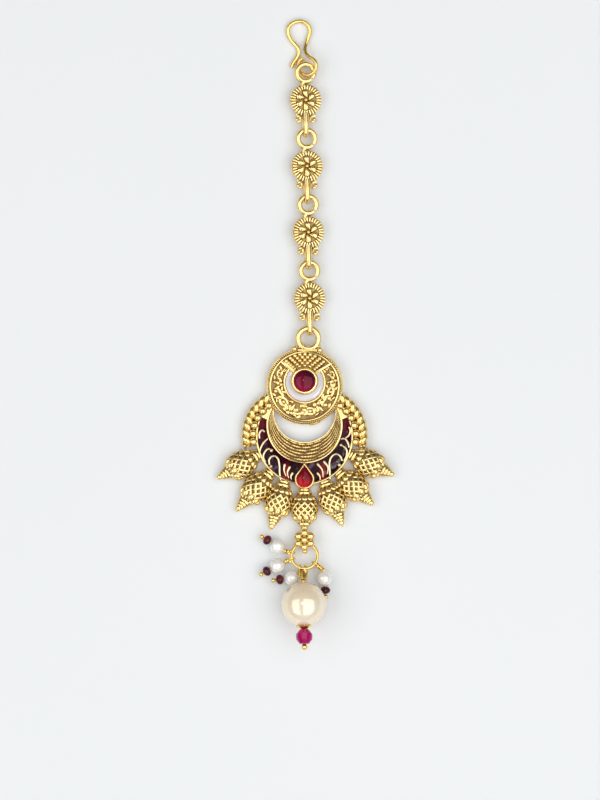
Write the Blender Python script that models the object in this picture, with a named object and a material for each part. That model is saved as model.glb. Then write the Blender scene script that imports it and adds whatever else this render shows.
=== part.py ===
"""Maang tikka: a wire hook, four cast flower links, a cast pendant with enamel and two red stones, and pearl
drops on a wire ring. It lies on its back, +Z up off the table and +Y towards the hook."""

import math

import bmesh
import bpy
from mathutils import Matrix, Vector

MM = 0.001
FULL = 2 * math.pi
X_AXIS = Vector((1, 0, 0))
Y_AXIS = Vector((0, 1, 0))
Z_AXIS = Vector((0, 0, 1))

# Fits
CLEARANCE = 0.10 * MM  # between pieces that hang in or lie on each other
SINK = 0.15 * MM  # how far a soldered shape runs into the one that carries it
SOLDER_BED = 0.50 * MM  # how far the settings and rings reach down into the pendant's plate

# Head of the pendant: a round plate with a raised rim
HEAD_RADIUS = 8.05 * MM
HEAD_GROUND = 1.10 * MM
HEAD_RIM_WIDTH = 1.00 * MM
HEAD_RIM_HEIGHT = 2.10 * MM
STONE_RADIUS = 2.37 * MM
STONE_DOME = 1.30 * MM
BEZEL_WALL = 0.33 * MM
BEZEL_HEIGHT = 2.90 * MM
BEZEL_RISE = 1.05 * MM  # the bezel's centre above the head's
COLLET_RADIUS = 4.47 * MM  # the plain ring round the bezel and the white enamel
COLLET_WALL = 0.45 * MM
COLLET_HEIGHT = 2.00 * MM
COLLET_RISE = 0.73 * MM
WHITE_DEPTH = 0.55 * MM
WEDGE_HALF_ANGLE = math.radians(48)
WEDGE_RADIUS = 6.20 * MM
WEDGE_HEIGHT = 1.65 * MM
GRANULE_RADIUS = 0.38 * MM
FILIGREE_SCROLLS = 10
FILIGREE_WIRE = 0.40 * MM

# Ring at the top of the head
EYE_RADIUS = 2.15 * MM
EYE_WIRE = 1.15 * MM
EYE_SHIFT = 0.80 * MM  # it was soldered a little to the right
COLLAR_WIDTH = 4.00 * MM
COLLAR_WIRE = 0.95 * MM
SHOULDER_GRANULE = 0.62 * MM

# Crescent with rope lines, and the enamelled frame round it
CRESCENT_RADIUS = 7.92 * MM
CRESCENT_DROP = 8.20 * MM
CRESCENT_WIDTH = 4.26 * MM
CRESCENT_BORE = 6.53 * MM
CRESCENT_HEIGHT = 1.75 * MM
ROPE_LINES = 6
ROPE_LINE_DEPTH = 0.30 * MM
BORDER_WIDTH = 0.35 * MM
BORDER_HEIGHT = 2.05 * MM
FRAME_RADIUS = 10.20 * MM
FRAME_BAND = 4.58 * MM  # from the crescent to the frame's edge, at the bottom
FRAME_FLOOR = 0.90 * MM
ENAMEL_DEPTH = 0.60 * MM
ENAMEL_HORN = math.radians(22)  # how far above the frame's middle the enamel climbs
SCROLL_WIRE = 0.38 * MM

# Teardrop setting at the bottom of the frame
TEAR_RADIUS = 1.72 * MM
TEAR_POINT = math.radians(36)  # half the angle at its point
TEAR_DOME = 0.90 * MM
TEAR_WALL = 0.28 * MM
TEAR_HEIGHT = 2.40 * MM

# Side bands: a twisted rope outside a row of beads
BAND_RADIUS = 9.50 * MM
BAND_FOOT = math.radians(14)  # how far below the frame's middle the bands end
BAND_AXIS = 1.05 * MM  # height of the rope's middle
ROPE_WIDTH = 1.85 * MM
ROPE_TWISTS = 8
ROPE_NECK = 0.62  # girth between two twists, as a share of the rope's width
BAND_BEAD = 1.50 * MM
BAND_BEADS = 6
BEAD_NECK = 0.50

# Spear drops round the frame
SPEAR_LENGTH = 9.85 * MM
SPEAR_RADIUS = 2.82 * MM
SPEAR_AXIS = 1.15 * MM  # height of the axis above the flat back
SPEAR_FLATNESS = 0.78
SPEAR_SIDES = 10
SPEAR_STUB = 8.75 * MM  # the middle one ends in a rosette and not in a ball

# Rosette of granules with an eye behind it
ROSETTE_GRANULE = 0.70 * MM
ROSETTE_RADIUS = 1.42 * MM
TAIL_EYE_WIRE = 0.66 * MM

# Chain
LINK_COUNT = 4
LINK_RADIUS = 3.30 * MM
LINK_THICKNESS = 1.70 * MM
LINK_PETALS = 6
LINK_ROLL = math.radians(8)
RING_RADIUS = 1.80 * MM
RING_WIRE = 1.05 * MM
RING_RISE = 5.75 * MM  # the ring's centre above the flower's
LOOP_WIRE = 0.98 * MM
LOOP_REACH = 6.30 * MM  # from the flower's centre to the next ring's wire
CURL_WIRE = 0.88 * MM
CHAIN_SHIFT = 0.20 * MM  # how far the top link lies to the right of the head's middle
CHAIN_DRIFT = 0.27 * MM  # how far each link lies to the right of the one above it

# Hook
HOOK_WIRE = 0.82 * MM
HOOK_EYE_RADIUS = 1.90 * MM
HOOK_EYE_RISE = 1.37 * MM  # its centre above the first ring's
HOOK_HEIGHT = 9.45 * MM
HOOK_WIDTH = 4.83 * MM
HOOK_SHIFT = 0.55 * MM

# Drop ring
DROP_RING_RADIUS = 2.74 * MM
DROP_RING_WIRE = 0.48 * MM
DROP_RING_TILT = math.radians(12)

# Small drops
PIN_WIRE = 0.36 * MM
PIN_LOOP_RADIUS = 0.58 * MM
PIN_BALL = 0.48 * MM
WRAP_RADIUS = 0.42 * MM
SIDE_NECK = 1.65 * MM  # from the drop ring to the pearl, for the two drops on the left
LOW_NECK = 1.95 * MM
RIGHT_NECK = 2.35 * MM
SMALL_PEARL_RADIUS = 1.57 * MM
SEED_BEAD_RADIUS = 1.05 * MM
SEED_BEAD_LENGTH = 1.60 * MM

# Large drop
LARGE_PIN_WIRE = 0.44 * MM
LARGE_WRAP_RADIUS = 0.58 * MM
LARGE_PIN_LOOP = 0.66 * MM
LARGE_PIN_BALL = 0.62 * MM
LARGE_NECK = 2.55 * MM
LARGE_PEARL_RADIUS = 4.73 * MM
CAP_RADIUS = 1.52 * MM
CAP_WALL = 0.30 * MM
FACET_BEAD_RADIUS = 1.66 * MM
FACET_BEAD_LENGTH = 3.00 * MM

# What follows from them
BEZEL_BORE = STONE_RADIUS + CLEARANCE
BEZEL_RADIUS = BEZEL_BORE + BEZEL_WALL
COLLET_BORE = COLLET_RADIUS - COLLET_WALL
LINK_LOOP_RADIUS = max(RING_WIRE, EYE_WIRE) / 2 + LOOP_WIRE / 2 + CLEARANCE
CHAIN_Z = LINK_LOOP_RADIUS + LOOP_WIRE / 2
EYE_Y = HEAD_RADIUS + EYE_RADIUS - EYE_WIRE / 5
CRESCENT_FOOT = -CRESCENT_DROP - CRESCENT_RADIUS
BORE_DROP = -(CRESCENT_FOOT + CRESCENT_WIDTH + CRESCENT_BORE)
FRAME_FOOT = CRESCENT_FOOT - FRAME_BAND
FRAME_DROP = -(FRAME_FOOT + FRAME_RADIUS)
ENAMEL_TOP = FRAME_FLOOR + CLEARANCE + ENAMEL_DEPTH
TEAR_BORE = TEAR_RADIUS + CLEARANCE
TEAR_OUTER = TEAR_BORE + TEAR_WALL
TEAR_DROP = -(CRESCENT_FOOT - TEAR_OUTER / math.sin(TEAR_POINT) + SINK)
BEAD_ROW_RADIUS = BAND_RADIUS - ROPE_WIDTH / 2 - BAND_BEAD / 2 + SINK
BAND_X = FRAME_RADIUS + BAND_BEAD / 2 - SINK - BEAD_ROW_RADIUS
SPEAR_FOOT = TEAR_DROP + TEAR_OUTER - SINK
ROSETTE_DROP = SPEAR_FOOT + SPEAR_STUB + ROSETTE_RADIUS + ROSETTE_GRANULE - SINK
TAIL_EYE_RADIUS = DROP_RING_WIRE / 2 + CLEARANCE + TAIL_EYE_WIRE / 2
TAIL_EYE_Z = TAIL_EYE_RADIUS + TAIL_EYE_WIRE / 2
TAIL_EYE_DROP = ROSETTE_DROP + ROSETTE_RADIUS / 2

# Bases of the spear drops on the frame and the way they point, both in degrees below the horizontal
SPEAR_ROWS = ((21.5, 29.0), (46.6, 45.0), (66.0, 71.6))
# Spear drop's section: share of its length, share of its radius, share by which its lobes stand out
SPEAR_PROFILE = (
    (0.00, 0.34, 0.0),
    (0.07, 0.40, 0.0),
    (0.13, 0.44, 0.0),
    (0.19, 0.56, 0.08),
    (0.27, 0.88, 0.06),
    (0.42, 1.00, 0.0),
    (0.58, 0.93, 0.05),
    (0.66, 0.68, 0.08),
    (0.76, 0.52, 0.0),
    (0.83, 0.34, 0.0),
    (0.90, 0.18, 0.0),
    (0.96, 0.22, 0.0),
    (1.00, 0.08, 0.0),
)
# Curl beside a link's loop, from its root on the flower: shares of the flower's radius
CURL_ROWS = ((0.50, -0.80), (0.64, -1.05), (0.60, -1.32), (0.38, -1.42))
# Small drops: place on the ring, way the neck runs and way the stem runs, in degrees, and neck length
DROP_ROWS = (
    (165, 167, 148, SIDE_NECK),
    (195, 200, 208, SIDE_NECK),
    (250, 268, 187, LOW_NECK),
    (322, 324, 274, RIGHT_NECK),
)
LARGE_DROP_ROW = (272, 262, 271, LARGE_NECK)
LARGE_STEM_TILT = math.radians(10)
# Hook outline from the eye to the free end: shares of its width and of its height
HOOK_ROWS = (
    (0.06, 0.22), (-0.06, 0.30), (-0.08, 0.40), (-0.01, 0.56), (0.10, 0.72), (0.10, 0.85), (-0.06, 0.96),
    (-0.32, 1.00), (-0.58, 0.975), (-0.78, 0.89), (-0.83, 0.76), (-0.74, 0.62), (-0.56, 0.50), (-0.40, 0.40),
    (-0.365, 0.30), (-0.45, 0.20), (-0.60, 0.08), (-0.69, -0.02),
)  # fmt: skip
# Canes on the enamel: degrees below the horizontal, lean, shares of the band for stem and curl, turn
CANE_ROWS = (
    (62, 8, 0.66, 0.15, 220),
    (36, 2, 0.32, 0.19, -160),
    (17, 0, 0.16, 0.19, -140),
    (0, 8, 0.12, 0.13, -190),
)
# Flames beside the drop-shaped stone: degrees below the horizontal, lean, share of the band that they climb
FLAME_ROWS = ((68.0, 0.22, 0.85), (72.5, 0.15, 0.62), (76.5, 0.12, 0.45))


def turn(steps, start=0.0, sweep=FULL):
    """Angles that share a full turn."""
    return [start + sweep * step / steps for step in range(steps)]


def arc(centre, radius, start, end, steps, across=X_AXIS, up=Y_AXIS):
    """Points along an arc, both ends included."""
    angles = [start + (end - start) * step / steps for step in range(steps + 1)]
    return [centre + across * (radius * math.cos(a)) + up * (radius * math.sin(a)) for a in angles]


def polar(centre, radius, angle, height=0.0):
    """A point at a distance and angle from a centre in the plane."""
    return Vector((centre[0] + radius * math.cos(angle), centre[1] + radius * math.sin(angle), height))


def reach(origin, angle, centre, radius):
    """How far a ray from a point inside a circle runs before it meets the circle."""
    to_centre = Vector(centre[:2]) - Vector(origin[:2])
    way = Vector((math.cos(angle), math.sin(angle)))
    along = to_centre.dot(way)
    return along + math.sqrt(max(radius**2 - to_centre.length_squared + along**2, 0.0))


def crossing_angle(centre, radius, other, other_radius):
    """The angle, seen from the first circle's centre, at which it crosses the other on the right."""
    across = Vector(other[:2]) - Vector(centre[:2])
    share = (across.length_squared + radius**2 - other_radius**2) / (2 * across.length * radius)
    return math.atan2(across.y, across.x) - math.acos(max(-1.0, min(1.0, share)))


def skin(shape, loops, closed=False):
    """Faces between loops of vertices; a loop of one vertex is a pole."""
    pairs = list(zip(loops, loops[1:]))
    if closed:
        pairs.append((loops[-1], loops[0]))
    for first, second in pairs:
        count = max(len(first), len(second))
        for i in range(count):
            j = (i + 1) % count
            corners = [first[i % len(first)], first[j % len(first)]]
            corners += [second[j % len(second)], second[i % len(second)]]
            shape.faces.new(list(dict.fromkeys(corners)))


def loft(shape, rings, closed=False):
    """A skin over rings of points, with flat ends unless it closes on itself."""
    loops = [[shape.verts.new(point) for point in ring] for ring in rings]
    skin(shape, loops, closed)
    if not closed:
        for end in (loops[0], loops[-1]):
            if len(end) > 2:
                shape.faces.new(end)


def turned(shape, profile, sides, place=None, closed=False):
    """A body turned on +Z from radii and heights, or a ring where its profile closes on itself."""
    place = place or Matrix()
    rings = []
    for radius, height in profile:
        angles = turn(sides) if radius else [0.0]
        rings.append([place @ polar((0, 0), radius, angle, height) for angle in angles])
    loft(shape, rings, closed)


def tube(shape, path, radii, sides, closed=False, up=Z_AXIS):
    """A round wire along a path, with one radius or one for each point."""
    if not isinstance(radii, (list, tuple)):
        radii = [radii] * len(path)
    count = len(path)
    rings = []
    normal = up
    for i, point in enumerate(path):
        before = path[i - 1] if closed or i else point
        after = path[(i + 1) % count] if closed or i + 1 < count else point
        tangent = (after - before).normalized()
        normal = up if closed else normal
        normal = (normal - tangent * normal.dot(tangent)).normalized()
        side = tangent.cross(normal)
        rings.append([point + (normal * math.cos(a) + side * math.sin(a)) * radii[i] for a in turn(sides)])
    loft(shape, rings, closed)


def ball(shape, centre, radius, sides=8):
    """A small whole ball."""
    profile = [(0, -1), (0.92, -0.45), (0.92, 0.45), (0, 1)]
    turned(shape, [(r * radius, h * radius) for r, h in profile], sides, Matrix.Translation(centre))


def metal(name, colour, roughness, metallic):
    """A material with the piece's colour and finish."""
    made = bpy.data.materials.new(name)
    made.use_nodes = True
    shader = made.node_tree.nodes["Principled BSDF"]
    shader.inputs["Base Color"].default_value = (*colour, 1)
    shader.inputs["Roughness"].default_value = roughness
    shader.inputs["Metallic"].default_value = metallic
    return made


def solid(name, shape, material, parent=None, place=None):
    """An object from a shape whose faces are turned outwards."""
    bmesh.ops.recalc_face_normals(shape, faces=shape.faces)
    mesh = bpy.data.meshes.new(name)
    shape.to_mesh(mesh)
    shape.free()
    mesh.shade_smooth()
    mesh.set_sharp_from_angle(angle=math.radians(35))
    mesh.materials.append(material)
    made = bpy.data.objects.new(name, mesh)
    made.parent = parent
    made.matrix_local = place or Matrix()
    bpy.context.collection.objects.link(made)
    return made


def combine(body, tool, operation):
    """A live Boolean whose tool stays hidden beside the body."""
    tool.hide_render = True
    tool.display_type = "WIRE"
    modifier = body.modifiers.new(tool.name, "BOOLEAN")
    modifier.operation = operation
    modifier.solver = "EXACT"
    modifier.use_self = operation == "UNION"
    modifier.object = tool


def mirrored(angle, side):
    """An angle in the plane, or its mirror image across the jewel's middle line."""
    return angle if side > 0 else math.pi - angle


def head_plate(shape):
    """Round plate with its raised rim."""
    rim = HEAD_RADIUS - HEAD_RIM_WIDTH
    profile = (
        (0, 0),
        (HEAD_RADIUS - SINK, 0),
        (HEAD_RADIUS, SINK),
        (HEAD_RADIUS, HEAD_RIM_HEIGHT - SINK),
        (HEAD_RADIUS - HEAD_RIM_WIDTH / 3, HEAD_RIM_HEIGHT),
        (rim, HEAD_RIM_HEIGHT - SINK),
        (rim, HEAD_GROUND),
        (0, HEAD_GROUND),
    )
    turned(shape, profile, 36)


def standing_ring(shape, centre, inner, outer, height, sides):
    """A plain upright wall round a centre, sunk into the head's plate."""
    foot = HEAD_GROUND - SOLDER_BED
    place = Matrix.Translation(centre)
    turned(shape, ((inner, foot), (outer, foot), (outer, height), (inner, height)), sides, place, closed=True)


def granule_wedge(shape):
    """The fan of granules above the bezel, between two bars."""
    centre = Vector((0, BEZEL_RISE, 0))
    foot = HEAD_GROUND - SOLDER_BED
    first = math.pi / 2 - WEDGE_HALF_ANGLE
    pitch = GRANULE_RADIUS * 1.15
    rows = round((WEDGE_RADIUS - BEZEL_RADIUS) / pitch)
    columns = round(2 * WEDGE_HALF_ANGLE * (WEDGE_RADIUS + BEZEL_RADIUS) / 2 / pitch)
    rings = []
    for column in range(columns + 1):
        angle = first + 2 * WEDGE_HALF_ANGLE * column / columns
        ring = [polar(centre, WEDGE_RADIUS, angle, foot), polar(centre, BEZEL_RADIUS - SINK, angle, foot)]
        for row in range(rows + 1):
            radius = BEZEL_RADIUS - SINK + (WEDGE_RADIUS - BEZEL_RADIUS + SINK) * row / rows
            studded = 0 < row < rows and 0 < column < columns and (row + column) % 2
            ring.append(polar(centre, radius, angle, WEDGE_HEIGHT + (GRANULE_RADIUS if studded else 0)))
        rings.append(ring)
    loft(shape, rings)
    for side in (-1, 1):
        angle = mirrored(first, side)
        ends = [polar(centre, radius, angle, WEDGE_HEIGHT) for radius in (BEZEL_RADIUS - SINK, WEDGE_RADIUS)]
        tube(shape, ends, GRANULE_RADIUS * 0.9, 6)


def filigree(shape):
    """Scrolls on the sunk ground between the collet and the rim."""
    centre = (0, COLLET_RISE)
    rim = HEAD_RADIUS - HEAD_RIM_WIDTH
    span = FULL - 2 * WEDGE_HALF_ANGLE
    for step in range(FILIGREE_SCROLLS):
        angle = math.pi / 2 + WEDGE_HALF_ANGLE + span * (step + 0.5) / FILIGREE_SCROLLS
        inner = reach((0, 0), angle, centre, COLLET_RADIUS)
        spot = polar((0, 0), (inner + rim) / 2, angle, HEAD_GROUND + FILIGREE_WIRE / 4)
        size = (rim - inner) / 2 - FILIGREE_WIRE / 4
        hand = 1 if step % 2 else -1
        scroll(shape, spot, size, angle, hand * math.radians(300), FILIGREE_WIRE)


def scroll(shape, centre, size, start, sweep, wire, steps=5):
    """A wire that winds in from its outer end."""
    path = []
    for step in range(steps + 1):
        share = step / steps
        path.append(polar(centre, size * (1 - 0.68 * share), start + sweep * share, centre.z))
    tube(shape, path, wire / 2, 4)


def head_eye(shape):
    """The soldered ring at the top, its collar and the granules beside it."""
    centre = Vector((EYE_SHIFT, EYE_Y, CHAIN_Z))
    tube(shape, [polar(centre, EYE_RADIUS, a, CHAIN_Z) for a in turn(14)], EYE_WIRE / 2, 6, closed=True)
    collar_y = math.sqrt(HEAD_RADIUS**2 - (COLLAR_WIDTH / 2) ** 2)
    height = HEAD_RIM_HEIGHT - SINK
    ends = [Vector((EYE_SHIFT / 2 + side * COLLAR_WIDTH / 2, collar_y, height)) for side in (-1, 1)]
    tube(shape, ends, COLLAR_WIRE / 2, 6)
    for end in ends:
        out = end + X_AXIS * math.copysign(SHOULDER_GRANULE, end.x)
        out.y = math.sqrt(max(HEAD_RADIUS**2 - out.x**2, 0.0))
        ball(shape, out, SHOULDER_GRANULE)


def crescent_section(angle, origin):
    """Distances from the origin to the crescent's bore and to its outer edge."""
    inner = reach(origin, angle, (0, -BORE_DROP), CRESCENT_BORE)
    outer = reach(origin, angle, (0, -CRESCENT_DROP), CRESCENT_RADIUS)
    return inner, outer


def crescent(shape):
    """The moon with its rope lines and outer border."""
    origin = (0, -BORE_DROP)
    horn = Vector((0, -CRESCENT_DROP))
    top = crossing_angle(horn, CRESCENT_RADIUS, (0, 0), HEAD_RADIUS - HEAD_RIM_WIDTH / 2)
    tip = polar(horn, CRESCENT_RADIUS, top)
    end = math.atan2(tip.y - origin[1], tip.x - origin[0])
    rings = []
    steps = 17
    for step in range(steps + 1):
        angle = end - (math.pi + 2 * end) * step / steps
        inner, outer = crescent_section(angle, origin)
        border = min(BORDER_WIDTH, (outer - inner) / 3)
        ring = [polar(origin, inner, angle, height) for height in (0, CRESCENT_HEIGHT - ROPE_LINE_DEPTH)]
        for line in range(ROPE_LINES):
            for share, drop in ((0.5, 0), (1, ROPE_LINE_DEPTH)):
                out = inner + (outer - border - inner) * (line + share) / ROPE_LINES
                ring.append(polar(origin, out, angle, CRESCENT_HEIGHT - drop))
        ring.append(polar(origin, outer - border * 0.8, angle, BORDER_HEIGHT))
        ring.append(polar(origin, outer, angle, BORDER_HEIGHT))
        ring.append(polar(origin, outer, angle, 0))
        rings.append(ring)
    loft(shape, rings)


def frame_span(origin):
    """The angle, seen from the frame's centre, at which its edge runs into the head's rim."""
    return crossing_angle(origin, FRAME_RADIUS, (0, 0), HEAD_RADIUS - HEAD_RIM_WIDTH / 2)


def enamel_frame(shape):
    """The sunk tray round the crescent, with its outer wall."""
    origin = (0, -FRAME_DROP)
    end = frame_span(origin)
    rings = []
    steps = 24
    for step in range(steps + 1):
        angle = end - (math.pi + 2 * end) * step / steps
        inner = reach(origin, angle, (0, -CRESCENT_DROP), CRESCENT_RADIUS) - SINK
        wall = FRAME_RADIUS - BORDER_WIDTH
        outline = ((inner, SINK / 2), (FRAME_RADIUS, SINK / 2), (FRAME_RADIUS, BORDER_HEIGHT))
        outline += ((wall, BORDER_HEIGHT), (wall, FRAME_FLOOR), (inner, FRAME_FLOOR))
        rings.append([polar(origin, out, angle, height) for out, height in outline])
    loft(shape, rings)


def enamel_scrolls(shape, side):
    """Canes and flames that stand over the enamel, rooted in the frame's wall."""
    origin = Vector((0, -FRAME_DROP, 0))
    height = ENAMEL_TOP + CLEARANCE + SCROLL_WIRE / 2
    for below, lean, stem, curl, sweep in CANE_ROWS:
        root = polar(origin, FRAME_RADIUS - BORDER_WIDTH / 2, mirrored(-math.radians(below), side), height)
        heading = math.pi / 2 - side * math.radians(lean)
        turning = -side * math.copysign(1, sweep)
        crook = root + polar((0, 0), FRAME_BAND * stem, heading)
        middle = crook + polar((0, 0), FRAME_BAND * curl, heading + turning * math.pi / 2)
        first = heading - turning * math.pi / 2
        bow = arc(middle, FRAME_BAND * curl, first, first + turning * math.radians(abs(sweep)), 6)
        tube(shape, [root] + bow, SCROLL_WIRE / 2, 4)
    for below, lean, share in FLAME_ROWS:
        foot = polar(origin, FRAME_RADIUS - BORDER_WIDTH / 2, mirrored(-math.radians(below), side), height)
        tip_angle = mirrored(-math.radians(below) + lean / 2, side)
        inner = reach(origin, tip_angle, (0, -CRESCENT_DROP), CRESCENT_RADIUS)
        tip = polar(origin, FRAME_RADIUS - (FRAME_RADIUS - inner) * share, tip_angle, height)
        tube(shape, [foot, (foot + tip) / 2, tip], [SCROLL_WIRE / 2, SCROLL_WIRE / 2, SCROLL_WIRE / 4], 4)


def teardrop(radius, height, sides=16):
    """Outline of a drop round its bulb's centre, its point towards +Y."""
    point = Vector((0, -TEAR_DROP + radius / math.sin(TEAR_POINT), height))
    bulb = Vector((0, -TEAR_DROP, height))
    return arc(bulb, radius, math.pi - TEAR_POINT, FULL + TEAR_POINT, sides - 2) + [point]


def tear_setting(shape):
    """A solid block for the drop-shaped stone's cup, whose pocket is cut afterwards."""
    bulb = Vector((0, -TEAR_DROP, 0))
    rings = [[bulb + Z_AXIS * SINK], teardrop(TEAR_OUTER, SINK), teardrop(TEAR_OUTER, TEAR_HEIGHT)]
    rings.append([bulb + Z_AXIS * TEAR_HEIGHT])
    loft(shape, rings)


def band_angles(side, radius, edge, steps):
    """Angles along a side band, from a circle round the head's middle down to the band's foot."""
    start = crossing_angle((BAND_X, -FRAME_DROP), radius, (0, 0), edge)
    return [mirrored(start - (start + BAND_FOOT) * step / steps, side) for step in range(steps + 1)]


def side_band(shape, side):
    """Twisted rope and bead row on a flat cast bed, from the head's rim down to the outer spear drops."""
    centre = (side * BAND_X, -FRAME_DROP)
    rope_edge = HEAD_RADIUS + ROPE_WIDTH / 2 - SINK * 2
    bead_edge = HEAD_RADIUS + BAND_BEAD / 2 - SINK
    rows = (
        (BAND_RADIUS, rope_edge, ROPE_TWISTS, ROPE_WIDTH, ROPE_NECK, 7),
        (BEAD_ROW_RADIUS, bead_edge, BAND_BEADS, BAND_BEAD, BEAD_NECK, 6),
    )
    for radius, edge, count, width, neck, sides in rows:
        angles = band_angles(side, radius, edge, 2 * count)
        path = [polar(centre, radius, angle, BAND_AXIS) for angle in angles]
        girths = [width / 2 * (1 if step % 2 else neck) for step in range(len(path))]
        tube(shape, path, girths, sides)
    inner = BEAD_ROW_RADIUS - BAND_BEAD / 2 - SINK
    low, high = SINK * 1.2, FRAME_FLOOR - SINK
    rings = []
    for angle in band_angles(side, BAND_RADIUS, HEAD_RADIUS - HEAD_RIM_WIDTH / 2, 6):
        corners = ((inner, low), (BAND_RADIUS, low), (BAND_RADIUS, high), (inner, high))
        rings.append([polar(centre, out, angle, height) for out, height in corners])
    loft(shape, rings)


def spear(shape, place, length, rows):
    """A fluted drop with a flat back, along -Y from its base."""
    rings = []
    for number, (along, share, lobe) in enumerate(rows):
        ring = []
        for side, angle in enumerate(turn(SPEAR_SIDES, FULL / SPEAR_SIDES / 2)):
            radius = SPEAR_RADIUS * share * (1 + (lobe if (side + number) % 2 else -lobe))
            height = SPEAR_AXIS + radius * math.sin(angle) * SPEAR_FLATNESS
            ring.append(place @ Vector((radius * math.cos(angle), -along * length, max(height, SINK * 0.7))))
        rings.append(ring)
    loft(shape, rings)


def spears(shape):
    """Three spear drops on each side and the short one in the middle."""
    origin = (0, -FRAME_DROP)
    for side in (-1, 1):
        for base, heading in SPEAR_ROWS:
            spot = polar(origin, FRAME_RADIUS - SINK * 2, mirrored(-math.radians(base), side))
            turned_by = mirrored(-math.radians(heading), side) + math.pi / 2
            place = Matrix.Translation(spot) @ Matrix.Rotation(turned_by, 4, "Z")
            spear(shape, place, SPEAR_LENGTH, SPEAR_PROFILE)
    middle = [row for row in SPEAR_PROFILE if row[0] < 0.9]
    stub = SPEAR_STUB / middle[-1][0]
    spear(shape, Matrix.Translation((0, -SPEAR_FOOT, 0)), stub, middle)


def rosette(shape):
    """Seven granules on a bed, with the eye that holds the drop ring behind them."""
    centre = Vector((0, -ROSETTE_DROP, TAIL_EYE_Z * 2))
    bed = ROSETTE_RADIUS + ROSETTE_GRANULE * 0.5
    low = centre.z - ROSETTE_GRANULE * 0.6
    section = ((0, low), (bed, low), (bed, centre.z), (0, centre.z))
    turned(shape, section, 11, Matrix.Translation((0, centre.y, 0)))
    for spot in [centre] + [polar(centre, ROSETTE_RADIUS, a, centre.z) for a in turn(6, math.pi / 6)]:
        ball(shape, spot + Z_AXIS * ROSETTE_GRANULE * 0.3, ROSETTE_GRANULE)
    eye = Vector((0, -TAIL_EYE_DROP, TAIL_EYE_Z))
    path = arc(eye, TAIL_EYE_RADIUS, 0, FULL, 10, Y_AXIS, Z_AXIS)[:-1]
    tube(shape, path, TAIL_EYE_WIRE / 2, 6, closed=True, up=X_AXIS)
    post = Vector((0, -ROSETTE_DROP + ROSETTE_RADIUS, 0))
    ends = [post + Vector((0, SINK * 2, SPEAR_AXIS)), post + Vector((0, -ROSETTE_GRANULE, centre.z - SINK))]
    tube(shape, ends, ROSETTE_GRANULE * 0.8, 6)


def pendant(parent, gold):
    """The cast pendant, one solid."""
    plate = bmesh.new()
    head_plate(plate)
    body = solid("pendant_frame", plate, gold, parent)
    relief = bmesh.new()
    standing_ring(relief, Vector((0, BEZEL_RISE, 0)), BEZEL_BORE, BEZEL_RADIUS, BEZEL_HEIGHT, 24)
    standing_ring(relief, Vector((0, COLLET_RISE, 0)), COLLET_BORE, COLLET_RADIUS, COLLET_HEIGHT, 32)
    granule_wedge(relief)
    filigree(relief)
    head_eye(relief)
    crescent(relief)
    enamel_frame(relief)
    tear_setting(relief)
    for side in (-1, 1):
        enamel_scrolls(relief, side)
        side_band(relief, side)
    spears(relief)
    rosette(relief)
    combine(body, solid("pendant_relief", relief, gold, parent), "UNION")
    pocket = bmesh.new()
    loft(pocket, [teardrop(TEAR_BORE, FRAME_FLOOR), teardrop(TEAR_BORE, TEAR_HEIGHT + TEAR_DOME)])
    combine(body, solid("teardrop_pocket", pocket, gold, parent), "DIFFERENCE")


def round_stone(parent, material):
    """Domed stone in the bezel."""
    shape = bmesh.new()
    foot = HEAD_GROUND + CLEARANCE
    profile = [(0, foot), (STONE_RADIUS, foot), (STONE_RADIUS, BEZEL_HEIGHT)]
    for angle in (0.45, 0.9, 1.25):
        profile.append((STONE_RADIUS * math.cos(angle), BEZEL_HEIGHT + STONE_DOME * math.sin(angle)))
    profile.append((0, BEZEL_HEIGHT + STONE_DOME))
    turned(shape, profile, 16, Matrix.Translation((0, BEZEL_RISE, 0)))
    solid("round_cabochon", shape, material, parent)


def tear_stone(parent, material):
    """Domed drop-shaped stone."""
    shape = bmesh.new()
    rings = [teardrop(TEAR_RADIUS, FRAME_FLOOR + CLEARANCE), teardrop(TEAR_RADIUS, TEAR_HEIGHT)]
    for angle in (0.5, 1.0):
        rings.append(teardrop(TEAR_RADIUS * math.cos(angle), TEAR_HEIGHT + TEAR_DOME * math.sin(angle)))
    rings.append([Vector((0, -TEAR_DROP, TEAR_HEIGHT + TEAR_DOME))])
    loft(shape, rings)
    solid("teardrop_cabochon", shape, material, parent)


def white_enamel(parent, material):
    """White moon between the bezel and the collet, below the granules."""
    shape = bmesh.new()
    origin = (0, BEZEL_RISE)
    gap = CLEARANCE * 1.5 / BEZEL_RADIUS + GRANULE_RADIUS / BEZEL_RADIUS
    start = math.pi / 2 + WEDGE_HALF_ANGLE + gap
    sweep = FULL - 2 * (WEDGE_HALF_ANGLE + gap)
    low = HEAD_GROUND + CLEARANCE
    rings = []
    for step in range(19):
        angle = start + sweep * step / 18
        inner = BEZEL_RADIUS + CLEARANCE
        outer = reach(origin, angle, (0, COLLET_RISE), COLLET_BORE - CLEARANCE)
        corners = ((inner, low), (outer, low), (outer, low + WHITE_DEPTH), (inner, low + WHITE_DEPTH))
        rings.append([polar(origin, out, angle, height) for out, height in corners])
    loft(shape, rings)
    solid("white_enamel", shape, material, parent)


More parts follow.
